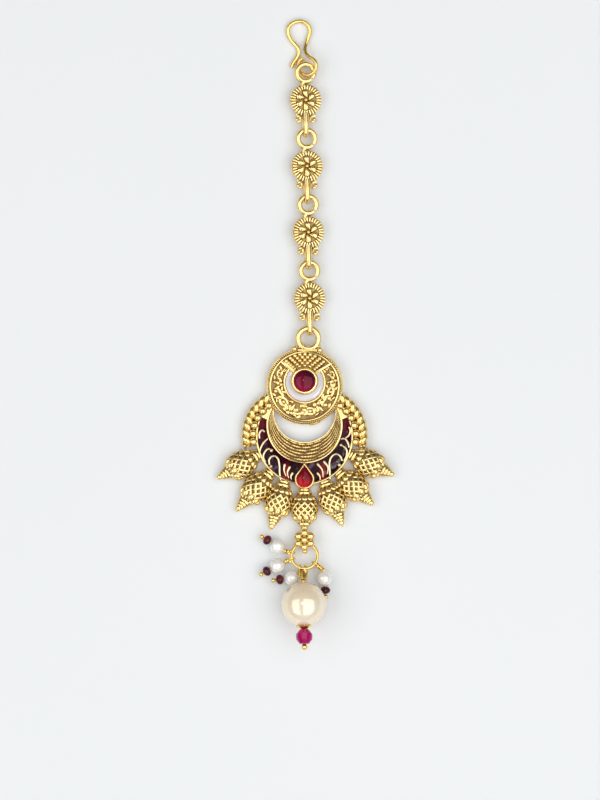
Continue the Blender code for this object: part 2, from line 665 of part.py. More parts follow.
def dark_enamel(parent, material):
    """The dark enamel on each side of the drop-shaped stone."""
    cutter = bmesh.new()
    hole = TEAR_OUTER + CLEARANCE
    loft(cutter, [teardrop(hole, 0), teardrop(hole, TEAR_HEIGHT)])
    hollow = solid("teardrop_hole", cutter, material, parent)
    origin = (0, -FRAME_DROP)
    low = FRAME_FLOOR + CLEARANCE
    outer = FRAME_RADIUS - BORDER_WIDTH - CLEARANCE
    for name, side in (("dark_enamel_left", -1), ("dark_enamel_right", 1)):
        shape = bmesh.new()
        rings = []
        for step in range(15):
            angle = ENAMEL_HORN - (ENAMEL_HORN + math.pi / 2 - TEAR_WALL / FRAME_RADIUS) * step / 14
            inner = reach(origin, angle, (0, -CRESCENT_DROP), CRESCENT_RADIUS) + CLEARANCE
            corners = ((inner, low), (outer, low), (outer, ENAMEL_TOP), (inner, ENAMEL_TOP))
            rings.append([polar(origin, out, mirrored(angle, side), height) for out, height in corners])
        loft(shape, rings)
        combine(solid(name, shape, material, parent), hollow, "DIFFERENCE")


def flower(shape):
    """Ribbed disc with raised petals and a middle dot."""
    half = LINK_THICKNESS / 2
    sides = 4 * LINK_PETALS
    rows = ((0.94, -1, 0, 0), (1, -0.7, 0, 0), (1, 0.55, 0, 0), (0.84, 1, 0.03, 0), (0.66, 0.8, 0, 0))
    rows += ((0.5, 0.95, 0, 0.3), (0.26, 0.95, 0, 0.35), (0.13, 0.75, 0, 0))
    rings = [[Vector((0, 0, -half))]]
    for radius, height, rib, petal in rows:
        ring = []
        for side, angle in enumerate(turn(sides, math.pi / 2)):
            out = LINK_RADIUS * (radius + (rib if side % 2 else -rib))
            crest = petal * math.cos(LINK_PETALS * (angle - math.pi / 2))
            ring.append(polar((0, 0), out, angle, half * (height + crest)))
        rings.append(ring)
    rings.append([Vector((0, 0, half * 1.2))])
    loft(shape, rings)


def link(name, place, parent, gold):
    """One cast link: open ring, ribbed flower and upright loop."""
    half = LINK_THICKNESS / 2
    disc = bmesh.new()
    flower(disc)
    body = solid(name, disc, gold, parent, place)
    relief = bmesh.new()
    centre = Vector((0, RING_RISE, 0))
    root = Vector((-RING_RADIUS * 0.4, LINK_RADIUS * 0.85, 0))
    path = [root] + arc(centre, RING_RADIUS, math.radians(228), math.radians(-70), 10)
    tube(relief, path, RING_WIRE / 2, 5)
    eye = Vector((0, -LOOP_REACH, 0))
    bow = arc(eye, LINK_LOOP_RADIUS, math.radians(75), math.radians(285), 7, Y_AXIS, Z_AXIS)
    shank = [Vector((0, -LINK_RADIUS * 0.85, half * side * 0.35)) for side in (1, -1)]
    path = [shank[0]] + bow + [shank[1]]
    girths = [LOOP_WIRE * 0.6] + [LOOP_WIRE / 2] * len(bow) + [LOOP_WIRE * 0.6]
    tube(relief, path, girths, 5, up=X_AXIS)
    for side in (-1, 1):
        curl = [Vector((side * LINK_RADIUS * x, LINK_RADIUS * y, 0)) for x, y in CURL_ROWS]
        tube(relief, curl, [CURL_WIRE / 2] * 3 + [CURL_WIRE * 0.35], 5)
    combine(body, solid(name + "_relief", relief, gold, parent, place), "UNION")


def chain(parent, gold):
    """The four links, each loop round the wire of the ring below it. Returns the first ring's centre."""
    pitch = RING_RISE + RING_RADIUS + LOOP_REACH
    lowest = EYE_Y + EYE_RADIUS + LOOP_REACH
    for number in range(LINK_COUNT):
        shift = CHAIN_SHIFT + CHAIN_DRIFT * number
        centre = Vector((shift, lowest + pitch * (LINK_COUNT - 1 - number), CHAIN_Z))
        place = Matrix.Translation(centre) @ Matrix.Rotation(LINK_ROLL, 4, "Y")
        link(f"flower_link_{number + 1}", place, parent, gold)
    return Vector((CHAIN_SHIFT, lowest + pitch * (LINK_COUNT - 1) + RING_RISE, CHAIN_Z))


def hook(ring_centre, parent, gold):
    """Bent wire: an open bow above and a tilted eye through the first link's ring."""
    centre = ring_centre + Vector((HOOK_SHIFT - CHAIN_SHIFT, HOOK_EYE_RISE, 0))
    along = (HOOK_EYE_RISE**2 + HOOK_EYE_RADIUS**2 - RING_RADIUS**2) / (2 * HOOK_EYE_RISE)
    crossing = math.sqrt(HOOK_EYE_RADIUS**2 - along**2)
    rise = (HOOK_WIRE + RING_WIRE) / 2 + CLEARANCE * 2
    slope = rise / crossing - math.tan(LINK_ROLL) + CLEARANCE / crossing
    low = HOOK_WIRE / 2 + CLEARANCE
    tip = math.radians(118)
    path = []
    for point in arc(Vector(), HOOK_EYE_RADIUS, math.radians(50), tip - FULL, 14):
        path.append(centre + point + Z_AXIS * (slope * point.x))
    stem = [Vector((centre.x + x * HOOK_WIDTH, centre.y + y * HOOK_HEIGHT, low)) for x, y in HOOK_ROWS]
    stem[0].z = centre.z + slope * (stem[0].x - centre.x)
    stem[1].z = low + (stem[0].z - low) * 0.66
    stem[2].z = low + (stem[0].z - low) * 0.33
    shape = bmesh.new()
    tube(shape, smooth(stem[::-1] + path[:1], 2)[:-1] + path, HOOK_WIRE / 2, 6)
    solid("hook", shape, gold, parent)


def smooth(points, steps):
    """A curve through the points, with so many steps between each two."""
    path = []
    for i in range(len(points) - 1):
        before = points[max(i - 1, 0)]
        first, second = points[i], points[i + 1]
        after = points[min(i + 2, len(points) - 1)]
        for step in range(steps):
            t = step / steps
            bend = (second - before) * t + (before * 2 - first * 5 + second * 4 - after) * t**2
            bend += (first * 3 - before - second * 3 + after) * t**3
            path.append(first + bend * 0.5)
    path.append(points[-1])
    return path


def ring_point(angle):
    """A place on the drop ring's wire and the wire's direction there."""
    tilt = Matrix.Rotation(-DROP_RING_TILT, 3, "X")
    top = Vector((0, -TAIL_EYE_DROP, TAIL_EYE_Z))
    spot = tilt @ (polar((0, 0), DROP_RING_RADIUS, angle) - Y_AXIS * DROP_RING_RADIUS)
    return top + spot, tilt @ polar((0, 0), 1, angle + math.pi / 2)


def drop_ring(parent, gold):
    """Wire ring through the eye behind the rosette."""
    shape = bmesh.new()
    up = Matrix.Rotation(-DROP_RING_TILT, 3, "X") @ Z_AXIS
    path = [ring_point(angle)[0] for angle in turn(20)]
    tube(shape, path, DROP_RING_WIRE / 2, 5, closed=True, up=up)
    solid("drop_ring", shape, gold, parent)


def pin(name, row, tilt, pearl_radius, gauges, stem_length, parent, gold):
    """A head pin: loop on the drop ring, neck, stem and ball. Returns the stem's start and its way."""
    place, neck_way, stem_way, neck = row
    wire, loop_radius, wrap_radius, ball_radius = gauges
    spot, tangent = ring_point(math.radians(place))
    stem = polar((0, 0), math.cos(tilt), math.radians(stem_way), math.sin(tilt))
    entry_height = pearl_radius * (1 - math.sin(tilt)) - CLEARANCE * math.sin(tilt)
    entry = polar(spot, neck, math.radians(neck_way), entry_height)
    way = (entry - spot).normalized()
    face = (tangent - way * tangent.dot(way)).normalized()
    side = face.cross(way)
    opening = (wire * 1.05 + wrap_radius - wire / 2 + CLEARANCE) / loop_radius
    path = arc(spot, loop_radius, opening, FULL, 10, way, side)
    radii = [wire / 2] * len(path)
    length = (entry - spot).length - loop_radius
    turns = max(1, round(length / (wire * 1.3)))
    for step in range(turns):
        for share, girth in ((0.25, wrap_radius), (0.75, wrap_radius), (1.0, wrap_radius * 0.78)):
            path.append(spot + way * (loop_radius + length * 0.12 + length * 0.78 * (step + share) / turns))
            radii.append(girth)
    end = entry + stem * stem_length
    path += [entry + stem * CLEARANCE, end]
    radii += [wire / 2, wire / 2]
    for along, share in ((0.25, 0.8), (0.9, 1.0), (1.6, 0.75), (2.0, 0.3)):
        path.append(end + stem * (ball_radius * along))
        radii.append(ball_radius * share)
    shape = bmesh.new()
    tube(shape, path, radii, 5, up=face)
    solid(name, shape, gold, parent)
    return entry, stem


def threaded(name, shape_rows, sides, start, way, along, material, parent, smooth_angle=None):
    """A drilled bead on a stem, its section given by radii and places along the stem."""
    place = Matrix.Translation(start + way * along) @ way.to_track_quat("Z", "Y").to_matrix().to_4x4()
    shape = bmesh.new()
    turned(shape, shape_rows, sides, place, closed=True)
    made = solid(name, shape, material, parent)
    if smooth_angle is not None:
        made.data.set_sharp_from_angle(angle=smooth_angle)


def bead_section(radius, half_length, bore, steps):
    """A round bead's section from one mouth of its bore to the other."""
    edge = math.acos(min(bore / radius, 1.0))
    rows = []
    for step in range(steps + 1):
        angle = -edge + 2 * edge * step / steps
        rows.append((radius * math.cos(angle), half_length * math.sin(angle) / math.sin(edge)))
    return rows


def small_drops(parent, gold, pearl, red):
    """Four little drops: pearl and seed bead on a wrapped pin."""
    bore = PIN_WIRE / 2 + CLEARANCE
    pearl_half = math.sqrt(SMALL_PEARL_RADIUS**2 - bore**2)
    seed_at = CLEARANCE * 2 + SMALL_PEARL_RADIUS + pearl_half + CLEARANCE + SEED_BEAD_LENGTH / 2
    stem_length = seed_at + SEED_BEAD_LENGTH / 2 + CLEARANCE
    gauges = (PIN_WIRE, PIN_LOOP_RADIUS, WRAP_RADIUS, PIN_BALL)
    for number, row in enumerate(DROP_ROWS, 1):
        name = f"small_pin_{number}"
        entry, way = pin(name, row, 0.0, SMALL_PEARL_RADIUS, gauges, stem_length, parent, gold)
        middle = CLEARANCE * 2 + SMALL_PEARL_RADIUS
        rows = bead_section(SMALL_PEARL_RADIUS, pearl_half, bore, 6)
        threaded(f"small_pearl_{number}", rows, 12, entry, way, middle, pearl, parent)
        rows = bead_section(SEED_BEAD_RADIUS, SEED_BEAD_LENGTH / 2, bore, 4)
        threaded(f"seed_bead_{number}", rows, 10, entry, way, seed_at, red, parent)


def large_drop(parent, gold, pearl, pink):
    """The large pearl with its cap and faceted bead."""
    bore = LARGE_PIN_WIRE / 2 + CLEARANCE
    pearl_half = math.sqrt(LARGE_PEARL_RADIUS**2 - bore**2)
    pearl_at = CLEARANCE * 2 + LARGE_PEARL_RADIUS
    shell = LARGE_PEARL_RADIUS + CLEARANCE
    cap_edge = math.sqrt(shell**2 - CAP_RADIUS**2)
    cap_crown = math.sqrt(shell**2 - bore**2)
    cap_waist = CAP_RADIUS * 0.6
    cap_top = cap_crown + CAP_WALL * 1.4
    cap_rows = [(bore, cap_crown), (cap_waist, math.sqrt(shell**2 - cap_waist**2)), (CAP_RADIUS, cap_edge)]
    cap_rows += [(CAP_RADIUS, cap_edge + CAP_WALL), (cap_waist, cap_crown + CAP_WALL), (bore, cap_top)]
    facet_at = pearl_at + cap_top + CLEARANCE + FACET_BEAD_LENGTH / 2
    stem_length = facet_at + FACET_BEAD_LENGTH / 2 + CLEARANCE
    gauges = (LARGE_PIN_WIRE, LARGE_PIN_LOOP, LARGE_WRAP_RADIUS, LARGE_PIN_BALL)
    tilt = LARGE_STEM_TILT
    entry, way = pin("large_pin", LARGE_DROP_ROW, tilt, LARGE_PEARL_RADIUS, gauges, stem_length, parent, gold)
    rows = bead_section(LARGE_PEARL_RADIUS, pearl_half, bore, 10)
    threaded("large_pearl", rows, 16, entry, way, pearl_at, pearl, parent)
    threaded("pearl_cap", cap_rows, 12, entry, way, pearl_at, gold, parent)
    half = FACET_BEAD_LENGTH / 2
    table = FACET_BEAD_RADIUS * 0.55
    belt = half * 0.25
    rows = [(bore, -half), (table, -half), (FACET_BEAD_RADIUS, -belt)]
    rows += [(FACET_BEAD_RADIUS, belt), (table, half), (bore, half)]
    threaded("faceted_bead", rows, 10, entry, way, facet_at, pink, parent, 0.1)
    return entry + way * (stem_length + LARGE_PIN_BALL * 2)


def main():
    for old in list(bpy.data.objects):
        bpy.data.objects.remove(old)
    gold = metal("antique_gold", (0.72, 0.50, 0.20), 0.35, 1.0)
    red = metal("red_glass", (0.22, 0.01, 0.03), 0.10, 0.0)
    white = metal("white_enamel", (0.85, 0.85, 0.83), 0.20, 0.0)
    dark = metal("dark_enamel", (0.05, 0.01, 0.03), 0.15, 0.0)
    pearl = metal("cream_pearl", (0.85, 0.78, 0.66), 0.25, 0.0)
    pink = metal("pink_glass", (0.45, 0.01, 0.12), 0.12, 0.0)
    jewel = bpy.data.objects.new("maang_tikka", None)
    bpy.context.collection.objects.link(jewel)
    pendant(jewel, gold)
    round_stone(jewel, red)
    tear_stone(jewel, red)
    white_enamel(jewel, white)
    dark_enamel(jewel, dark)
    ring_centre = chain(jewel, gold)
    hook(ring_centre, jewel, gold)
    drop_ring(jewel, gold)
    small_drops(jewel, gold, pearl, red)
    lowest = large_drop(jewel, gold, pearl, pink)
    highest = ring_centre.y + HOOK_EYE_RISE + HOOK_HEIGHT + HOOK_WIRE / 2
    jewel.location.y = -(highest + lowest.y) / 2


main()
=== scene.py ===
"""Looks of a maang tikka lying on a pale table: a wire hook, cast flower links, a cast pendant with enamel
and red stones, and pearl drops on a wire ring. Pieces are modelled in millimetres from the middle of the
pendant's head, +Y towards the hook, and brought to metres when they are seated on the frame."""

import math

import bpy
import numpy as np
from mathutils import Matrix, Vector
from mathutils.bvhtree import BVHTree


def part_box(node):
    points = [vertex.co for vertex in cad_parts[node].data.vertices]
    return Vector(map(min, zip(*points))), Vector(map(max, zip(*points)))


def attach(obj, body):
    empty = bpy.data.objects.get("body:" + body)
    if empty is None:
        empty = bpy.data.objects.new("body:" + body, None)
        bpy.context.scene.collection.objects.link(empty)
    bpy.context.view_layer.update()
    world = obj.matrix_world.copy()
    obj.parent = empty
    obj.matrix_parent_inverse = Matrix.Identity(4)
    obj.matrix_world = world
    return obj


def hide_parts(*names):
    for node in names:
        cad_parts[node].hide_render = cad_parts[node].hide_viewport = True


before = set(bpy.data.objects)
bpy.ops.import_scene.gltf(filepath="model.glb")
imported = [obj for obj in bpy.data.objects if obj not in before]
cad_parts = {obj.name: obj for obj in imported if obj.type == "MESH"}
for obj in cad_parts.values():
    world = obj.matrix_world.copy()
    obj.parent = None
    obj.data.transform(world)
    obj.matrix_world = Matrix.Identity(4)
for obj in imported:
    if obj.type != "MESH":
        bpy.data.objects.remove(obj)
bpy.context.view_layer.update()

MM = 0.001
FULL = 2 * math.pi
X_AXIS = Vector((1, 0, 0))
Y_AXIS = Vector((0, 1, 0))
Z_AXIS = Vector((0, 0, 1))
SEAM = 0.0001  # points closer than this are one

# Head of the pendant, in millimetres like all that follows
HEAD_RADIUS = 8.05
HEAD_GROUND = 1.10
MILGRAIN_ROW = 7.62
MILGRAIN_GRAIN = 0.21
MILGRAIN_PITCH = 0.43
MILGRAIN_Z = 1.97
INNER_RING_ROW = 7.20
INNER_RING_WIRE = 0.42
INNER_RING_Z = 1.86
GROUND_EDGE = 6.98
STONE_RADIUS = 2.37
STONE_GIRDLE = 2.90
STONE_DOME = 1.30
BEZEL_RADIUS = 2.82
BEZEL_RISE = 1.05
COLLET_RADIUS = 4.47
COLLET_BORE = 4.02
COLLET_RISE = 0.73
WHITE_FOOT = 1.20
WHITE_TOP = 1.80
WHITE_DISH = ((0, 0), (0.2, 0.08), (0.8, 0.08), (1, 0))  # share of the way across and depth under its rim
WEDGE_HALF_ANGLE = math.radians(48)
WEDGE_BED = 1.40
GRANULE = 0.49
GRANULE_Z = 1.56
GRANULE_ROWS = 5
GRANULE_FIRST_ROW = 5  # granules in the row next to the bezel; each row outwards has one more
GRANULE_FIRST_GAP = 0.42
GRANULE_ROW_PITCH = 0.61
# near end and far end in the plane, and width, of the two bars beside the granules
WEDGE_BARS = (((-2.05, 2.8), (-4.85, 5.3), 0.85), ((2.25, 2.75), (5.75, 4.85), 0.65))
WEDGE_BAR_HEIGHT = 0.95
FILIGREE_UNITS = 12
FILIGREE_RISE = 0.40
FILIGREE_SIZE = 0.49  # share of the ground's breadth

# Ring and collar at the top
EYE_RADIUS = 2.15
EYE_WIRE = 1.20
EYE_SHIFT = 0.80
EYE_RISE = 9.97
EYE_SEAM = 0.035
CHAIN_Z = 1.655
# across, up, height and size
SHOULDER_GRANULES = ((-2.1, 7.86, 2.0, 0.62), (3.25, 7.55, 2.0, 0.62), (2.75, 8.35, 1.7, 0.42))

# Crescent and the enamelled frame
CRESCENT_RADIUS = 7.92
CRESCENT_DROP = 8.20
CRESCENT_BORE = 6.53
BORE_DROP = 5.33
CRESCENT_GROUND = 1.42
ROPE_LINES = 6
ROPE_PITCH = 1.05
ROPE_ROOM = 0.65  # breadth of a line at the crescent's widest
ROPE_GIRTH = 0.40  # of a strand, as a share of its line's breadth, like its swing
ROPE_SWING = 0.11
ROPE_REACH = 8.5  # mean distance of the lines from the bore's middle
BORDER_WIRE = 0.42
BORDER_Z = 1.78
BORE_WIRE = 0.26
BORE_Z = 1.45
FRAME_RADIUS = 10.20
FRAME_DROP = 10.50
FRAME_FLOOR = 0.90
FRAME_WALL = 0.35
FRAME_HEIGHT = 1.88
FRAME_FOOT = 0.08
ENAMEL_FOOT = 1.00
ENAMEL_TOP = 1.62
ENAMEL_DISH = ((0, 0), (0.12, 0.1), (0.5, 0.14), (0.88, 0.1), (1, 0))
ENAMEL_END = math.radians(24)
SCROLL_WIRE = 0.40
TEAR_RADIUS = 1.72
TEAR_DROP = 19.54
TEAR_POINT = math.radians(36)
TEAR_WALL = 0.38
TEAR_GIRDLE = 2.40
TEAR_DOME = 0.95

# Side bands
BAND_X = 2.825
BAND_RADIUS = 9.45
BAND_AXIS = 1.10
BAND_START = math.radians(62)
BAND_END = math.radians(-13)
ROPE_STRANDS = 2
STRAND_WIRE = 1.28
STRAND_OFFSET = 0.48
ROPE_TURNS = 4.2
BEAD_ROW = 7.95
BEAD_RISE = 0.50
BAND_BEAD = 0.90
BAND_BEADS = 6

# Spear drops, each along its own axis from the frame's edge: base and heading in degrees below the
# horizontal, and length against the model's
SPEAR_ROWS = {
    "left": ((21.5, 30.2, 1.04), (46.6, 48.5, 1.12), (66.0, 74.0, 1.08)),
    "right": ((21.5, 25.8, 1.05), (46.6, 43.5, 1.04), (66.0, 68.0, 1.04)),
}
SPEAR_AXIS = 1.15
SPEAR_FLATNESS = 0.78
SPEAR_BACK = 0.10
SPEAR_FOOT = 21.49
NET_BARS = 12
NET_BAR = 0.40
NET_FIRST = 2.75
NET_LAST = 5.95
NET_SWEEP = math.radians(66)
# section of a net's bar: shares of its half width, and height over the belly
NET_SECTION = ((-1, -0.16), (1, -0.16), (1, 0.07), (0.6, 0.14), (-0.6, 0.14), (-1, 0.07))

# Rosette
ROSETTE_DROP = 32.21
ROSETTE_RADIUS = 1.49
ROSETTE_GRANULE = 0.87
ROSETTE_Z = 2.20
ROSETTE_TAIL = 0.62
TAIL_EYE_DROP = 32.92
TAIL_EYE_RADIUS = 0.67
TAIL_EYE_WIRE = 0.62
TAIL_EYE_Z = 1.00

# Chain
LINK_PITCH = 13.85
LINK_LOWEST = 18.42
LINK_SHIFTS = (0.20, 0.47, 0.74, 1.01)
LINK_ROLL = math.radians(8)
LINK_RIBS = 30
LINK_RIB_ROW = 2.74
LINK_PETALS = 6
LINK_PETAL_ROW = 1.27
LINK_CURL_WIRE = 0.72
LINK_CURL_BALL = 0.42
RING_RADIUS = 1.80
RING_WIRE = 1.12
RING_RISE = 5.75
LOOP_WIRE = 0.98
LOOP_REACH = 6.30
LOOP_RADIUS = 1.165
LOOP_ROOT = 2.838
LOOP_ROOT_HALF = 0.255

# Hook
HOOK_WIRE = 0.80
HOOK_EYE_RADIUS = 1.90
HOOK_EYE_RISE = 1.37
HOOK_HEIGHT = 9.45
HOOK_WIDTH = 4.83
HOOK_SHIFT = 0.55
HOOK_LOW = 0.51
# bends of the wire from its eye, round the bow and down to the free end, as shares of the width and height
HOOK_ROWS = (
    (0.06, 0.22), (-0.06, 0.30), (-0.08, 0.40), (-0.01, 0.56), (0.10, 0.72), (0.10, 0.85), (-0.06, 0.96),
    (-0.32, 1.00), (-0.58, 0.975), (-0.78, 0.89), (-0.83, 0.76), (-0.74, 0.62), (-0.56, 0.50), (-0.40, 0.40),
    (-0.365, 0.30), (-0.45, 0.20), (-0.60, 0.08), (-0.69, -0.02),
)  # fmt: skip

# Drops
DROP_RING_RADIUS = 2.74
DROP_RING_WIRE = 0.64
DROP_RING_TILT = math.radians(12)
# place on the ring, way of the neck and way of the stem in degrees, neck length
DROP_ROWS = ((165, 167, 148, 1.65), (195, 200, 208, 1.65), (250, 268, 187, 1.95), (322, 324, 274, 2.35))
LARGE_ROW = (272, 262, 271, 2.55)
LARGE_TILT = math.radians(10)
PIN_WIRE = 0.42
PIN_LOOP = 0.58
WRAP_RADIUS = 0.56
PIN_BALL = 0.50
LARGE_PIN_WIRE = 0.42
LARGE_PIN_LOOP = 0.66
LARGE_WRAP_RADIUS = 0.74
LARGE_PIN_BALL = 0.64
SMALL_PEARL = 1.57
SEED_BEAD = 1.05
SEED_HALF = 0.80
LARGE_PEARL = 4.73
CAP_RISE = 0.42
FACET_HALF = 1.50
PIN_CLEARANCE = 0.10

HEAD = Vector((0, sum(corner[1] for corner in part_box("round_cabochon")) / 2 / MM - BEZEL_RISE, 0))
TO_FRAME = Matrix.Scale(MM, 4) @ Matrix.Translation(HEAD)

# View, in millimetres
VIEW_CENTRE = (-0.95, HEAD.y - 2.94)
VIEW_SPAN = 168.0

# Room, in metres and watts
CAMERA_HEIGHT = 1.20
TABLE_SIZE = 1.6
TABLE_GAP = 0.0001
ROOM_LIGHT = 0.20
ROOM_TINT = (0.92, 0.92, 0.93, 1.0)
# name, place, size and power of each light overhead, and its tint
LIGHTS = (
    ("left_window", (-1.53, -0.68, 1.35), (1.92, 2.85), 29.5, (1.0, 0.99, 0.97)),
    ("right_window", (0.96, -0.68, 1.35), (2.03, 2.85), 31.0, (1.0, 0.99, 0.97)),
    ("small_lamp", (-0.16, 0.10, 1.34), (0.14, 0.14), 1.1, (1.0, 1.0, 1.0)),
)


# Modelling


def start():
    """Object mode with nothing selected."""
    if bpy.context.mode != "OBJECT":
        bpy.ops.object.mode_set(mode="OBJECT")
    bpy.ops.object.select_all(action="DESELECT")


def polar(centre, radius, angle, height=0.0):
    """A point at a distance and angle from a centre in the plane."""
    return Vector((centre[0] + radius * math.cos(angle), centre[1] + radius * math.sin(angle), height))


def to(point):
    """The move from the origin to a point."""
    return Matrix.Translation(point)


def arc_angles(first, last, steps):
    """Evenly spaced angles, both ends included."""
    return [first + (last - first) * step / steps for step in range(steps + 1)]


def arc(centre, radius, first, last, steps, across=X_AXIS, up=Y_AXIS):
    """Points along an arc, both ends included."""
    angles = arc_angles(first, last, steps)
    return [centre + across * (radius * math.cos(a)) + up * (radius * math.sin(a)) for a in angles]


def reach(origin, angle, centre, radius):
    """How far a ray from a point inside a circle runs before it meets the circle."""
    to_centre = Vector(centre[:2]) - Vector(origin[:2])
    way = Vector((math.cos(angle), math.sin(angle)))
    along = to_centre.dot(way)
    return along + math.sqrt(max(radius**2 - to_centre.length_squared + along**2, 0.0))


def crossing(centre, radius, other, other_radius):
    """The angle, seen from the first circle's centre, at which it crosses the other on the right."""
    across = Vector(other[:2]) - Vector(centre[:2])
    share = (across.length_squared + radius**2 - other_radius**2) / (2 * across.length * radius)
    return math.atan2(across.y, across.x) - math.acos(max(-1.0, min(1.0, share)))


def mirrored(angle, side):
    """An angle in the plane, or its mirror image across the jewel's middle line."""
    return angle if side > 0 else math.pi - angle


def turned(profile, sides):
    """A body drawn out from a disc, ring by ring, through radii and heights."""
    start()
    radius, height = profile[0]
    place = (0, 0, height)
    bpy.ops.mesh.primitive_circle_add(vertices=sides, radius=radius, fill_type="NGON", location=place)
    bpy.ops.object.transform_apply(location=True)
    bpy.ops.object.mode_set(mode="EDIT")
    bpy.ops.mesh.select_all(action="SELECT")
    for wide, high in profile[1:]:
        bpy.ops.mesh.extrude_region_move(TRANSFORM_OT_translate={"value": (0, 0, high - height)})
        bpy.ops.transform.resize(value=(wide / radius, wide / radius, 1), center_override=(0, 0, high))
        radius, height = wide, high
    bpy.ops.mesh.select_all(action="SELECT")
    bpy.ops.mesh.normals_make_consistent(inside=False)
    bpy.ops.object.mode_set(mode="OBJECT")
    return bpy.context.object


def ring(section, steps):
    """A ring: a closed section of radii and heights, spun round +Z."""
    start()
    bpy.ops.mesh.primitive_circle_add(vertices=len(section), radius=1)
    piece = bpy.context.object
    for vertex, (radius, height) in zip(piece.data.vertices, section):
        vertex.co = (radius, 0, height)
    bpy.ops.object.mode_set(mode="EDIT")
    bpy.ops.mesh.select_all(action="SELECT")
    bpy.ops.mesh.spin(steps=steps, angle=FULL, center=(0, 0, 0), axis=(0, 0, 1))
    bpy.ops.mesh.select_all(action="SELECT")
    bpy.ops.mesh.remove_doubles(threshold=SEAM)
    bpy.ops.mesh.normals_make_consistent(inside=False)
    bpy.ops.object.mode_set(mode="OBJECT")
    return piece


def torus(radius, wire, steps=48, sides=8):
    """A closed round wire ring."""
    start()
    bpy.ops.mesh.primitive_torus_add(
        major_radius=radius, minor_radius=wire / 2, major_segments=steps, minor_segments=sides
    )
    return bpy.context.object


def ball(radius, segments=16, rings=10):
    """A small ball."""
    start()
    bpy.ops.mesh.primitive_uv_sphere_add(segments=segments, ring_count=rings, radius=radius)
    return bpy.context.object


def wire(route, girth, sides=8, closed=False, steps=4, shares=None):
    """A bent round wire through the route's points, with a share of its girth at each point if given."""
    start()
    bpy.ops.curve.primitive_bezier_curve_add()
    curve = bpy.context.object.data
    spline = curve.splines[0]
    spline.bezier_points.add(len(route) - 2)
    for number, (bend, point) in enumerate(zip(spline.bezier_points, route)):
        bend.co = point
        bend.handle_left_type = "AUTO"
        bend.handle_right_type = "AUTO"
        bend.radius = shares[number] if shares else 1.0
    spline.use_cyclic_u = closed
    curve.resolution_u = steps
    curve.bevel_depth = girth / 2
    curve.bevel_resolution = sides // 2 - 2
    curve.use_fill_caps = not closed
    bpy.ops.object.convert(target="MESH")
    return bpy.context.object


def skinned(rings, closed=True):
    """A grid laid on rings of points; a closed one is joined at its seam and filled at its ends."""
    start()
    columns = len(rings[0]) if closed else len(rings[0]) - 1
    bpy.ops.mesh.primitive_grid_add(x_subdivisions=columns, y_subdivisions=len(rings) - 1, size=1)
    piece = bpy.context.object
    points = [row[i % len(row)] for row in rings for i in range(columns + 1)]
    for vertex, point in zip(piece.data.vertices, points):
        vertex.co = point
    bpy.ops.object.mode_set(mode="EDIT")
    bpy.ops.mesh.select_all(action="SELECT")
    bpy.ops.mesh.remove_doubles(threshold=SEAM)
    if closed:
        bpy.ops.mesh.fill_holes(sides=0)
    bpy.ops.mesh.select_all(action="SELECT")
    bpy.ops.mesh.normals_make_consistent(inside=False)
    bpy.ops.object.mode_set(mode="OBJECT")
    return piece


def moved(piece, place):
    """The piece with a transform put into its mesh."""
    piece.data.transform(place)
    if place.determinant() < 0:
        piece.data.flip_normals()
    return piece


def scattered(model, places):
    """One mesh of many copies of a small piece, which is used up."""
    points = np.array([tuple(vertex.co) + (1.0,) for vertex in model.data.vertices])
    faces = [tuple(polygon.vertices) for polygon in model.data.polygons]
    corners = np.vstack([points @ np.array(place).T for place in places])[:, :3]
    count = len(points)
    copies = [tuple(i + count * number for i in face) for number in range(len(places)) for face in faces]
    mesh = bpy.data.meshes.new("copies")
    mesh.from_pydata(corners.tolist(), [], copies)
    piece = bpy.data.objects.new("copies", mesh)
    bpy.context.collection.objects.link(piece)
    bpy.data.objects.remove(model)
    return piece


def copied(model, place):
    """A copy with its own mesh, put in its place."""
    piece = model.copy()
    piece.data = model.data.copy()
    bpy.context.collection.objects.link(piece)
    return moved(piece, place)


def tarnished(piece, amount=0.8, where=None):
    """Marks the shape, or the part of it that a test picks out, as lying where the patina stays."""
    layer = piece.data.attributes.new("patina", "FLOAT", "POINT")
    picked = [where is None or where(vertex.co) for vertex in piece.data.vertices]
    layer.data.foreach_set("value", amount * np.array(picked, dtype=np.float32))
    return piece


def bar(length, width, height):
    """A straight flat bar with eased edges, along Y and standing on its own middle."""
    start()
    bpy.ops.mesh.primitive_cube_add(size=1)
    piece = moved(bpy.context.object, Matrix.Diagonal((width, length, height, 1)))
    return modified(piece, "BEVEL", width=min(width, height) * 0.3, segments=2)


def joined(parts):
    """Several shapes as one object."""
    start()
    for part in parts:
        part.select_set(True)
    bpy.context.view_layer.objects.active = parts[0]
    bpy.ops.object.join()
    return parts[0]


def modified(piece, kind, **settings):
    """The piece with one modifier applied."""
    start()
    piece.select_set(True)
    bpy.context.view_layer.objects.active = piece
    modifier = piece.modifiers.new(kind, kind)
    for name, value in settings.items():
        setattr(modifier, name, value)
    bpy.ops.object.modifier_apply(modifier=modifier.name)
    return piece


def cut_flat(piece, height):
    """The piece without what lies below a height, closed there."""
    start()
    piece.select_set(True)
    bpy.context.view_layer.objects.active = piece
    bpy.ops.object.mode_set(mode="EDIT")
    bpy.ops.mesh.select_all(action="SELECT")
    bpy.ops.mesh.bisect(
        plane_co=(0, 0, height), plane_no=(0, 0, 1), use_fill=True, clear_inner=True, threshold=SEAM
    )
    bpy.ops.object.mode_set(mode="OBJECT")
    return piece


def along(point, way, size=(1, 1, 1), face=Z_AXIS):
    """A place whose Y runs along a way and whose Z leans towards a face, with a size for each axis."""
    way = way.normalized()
    side = way.cross(face).normalized()
    turn = Matrix((side, way, side.cross(way))).transposed().to_4x4()
    return to(point) @ turn @ Matrix.Diagonal((*size, 1))


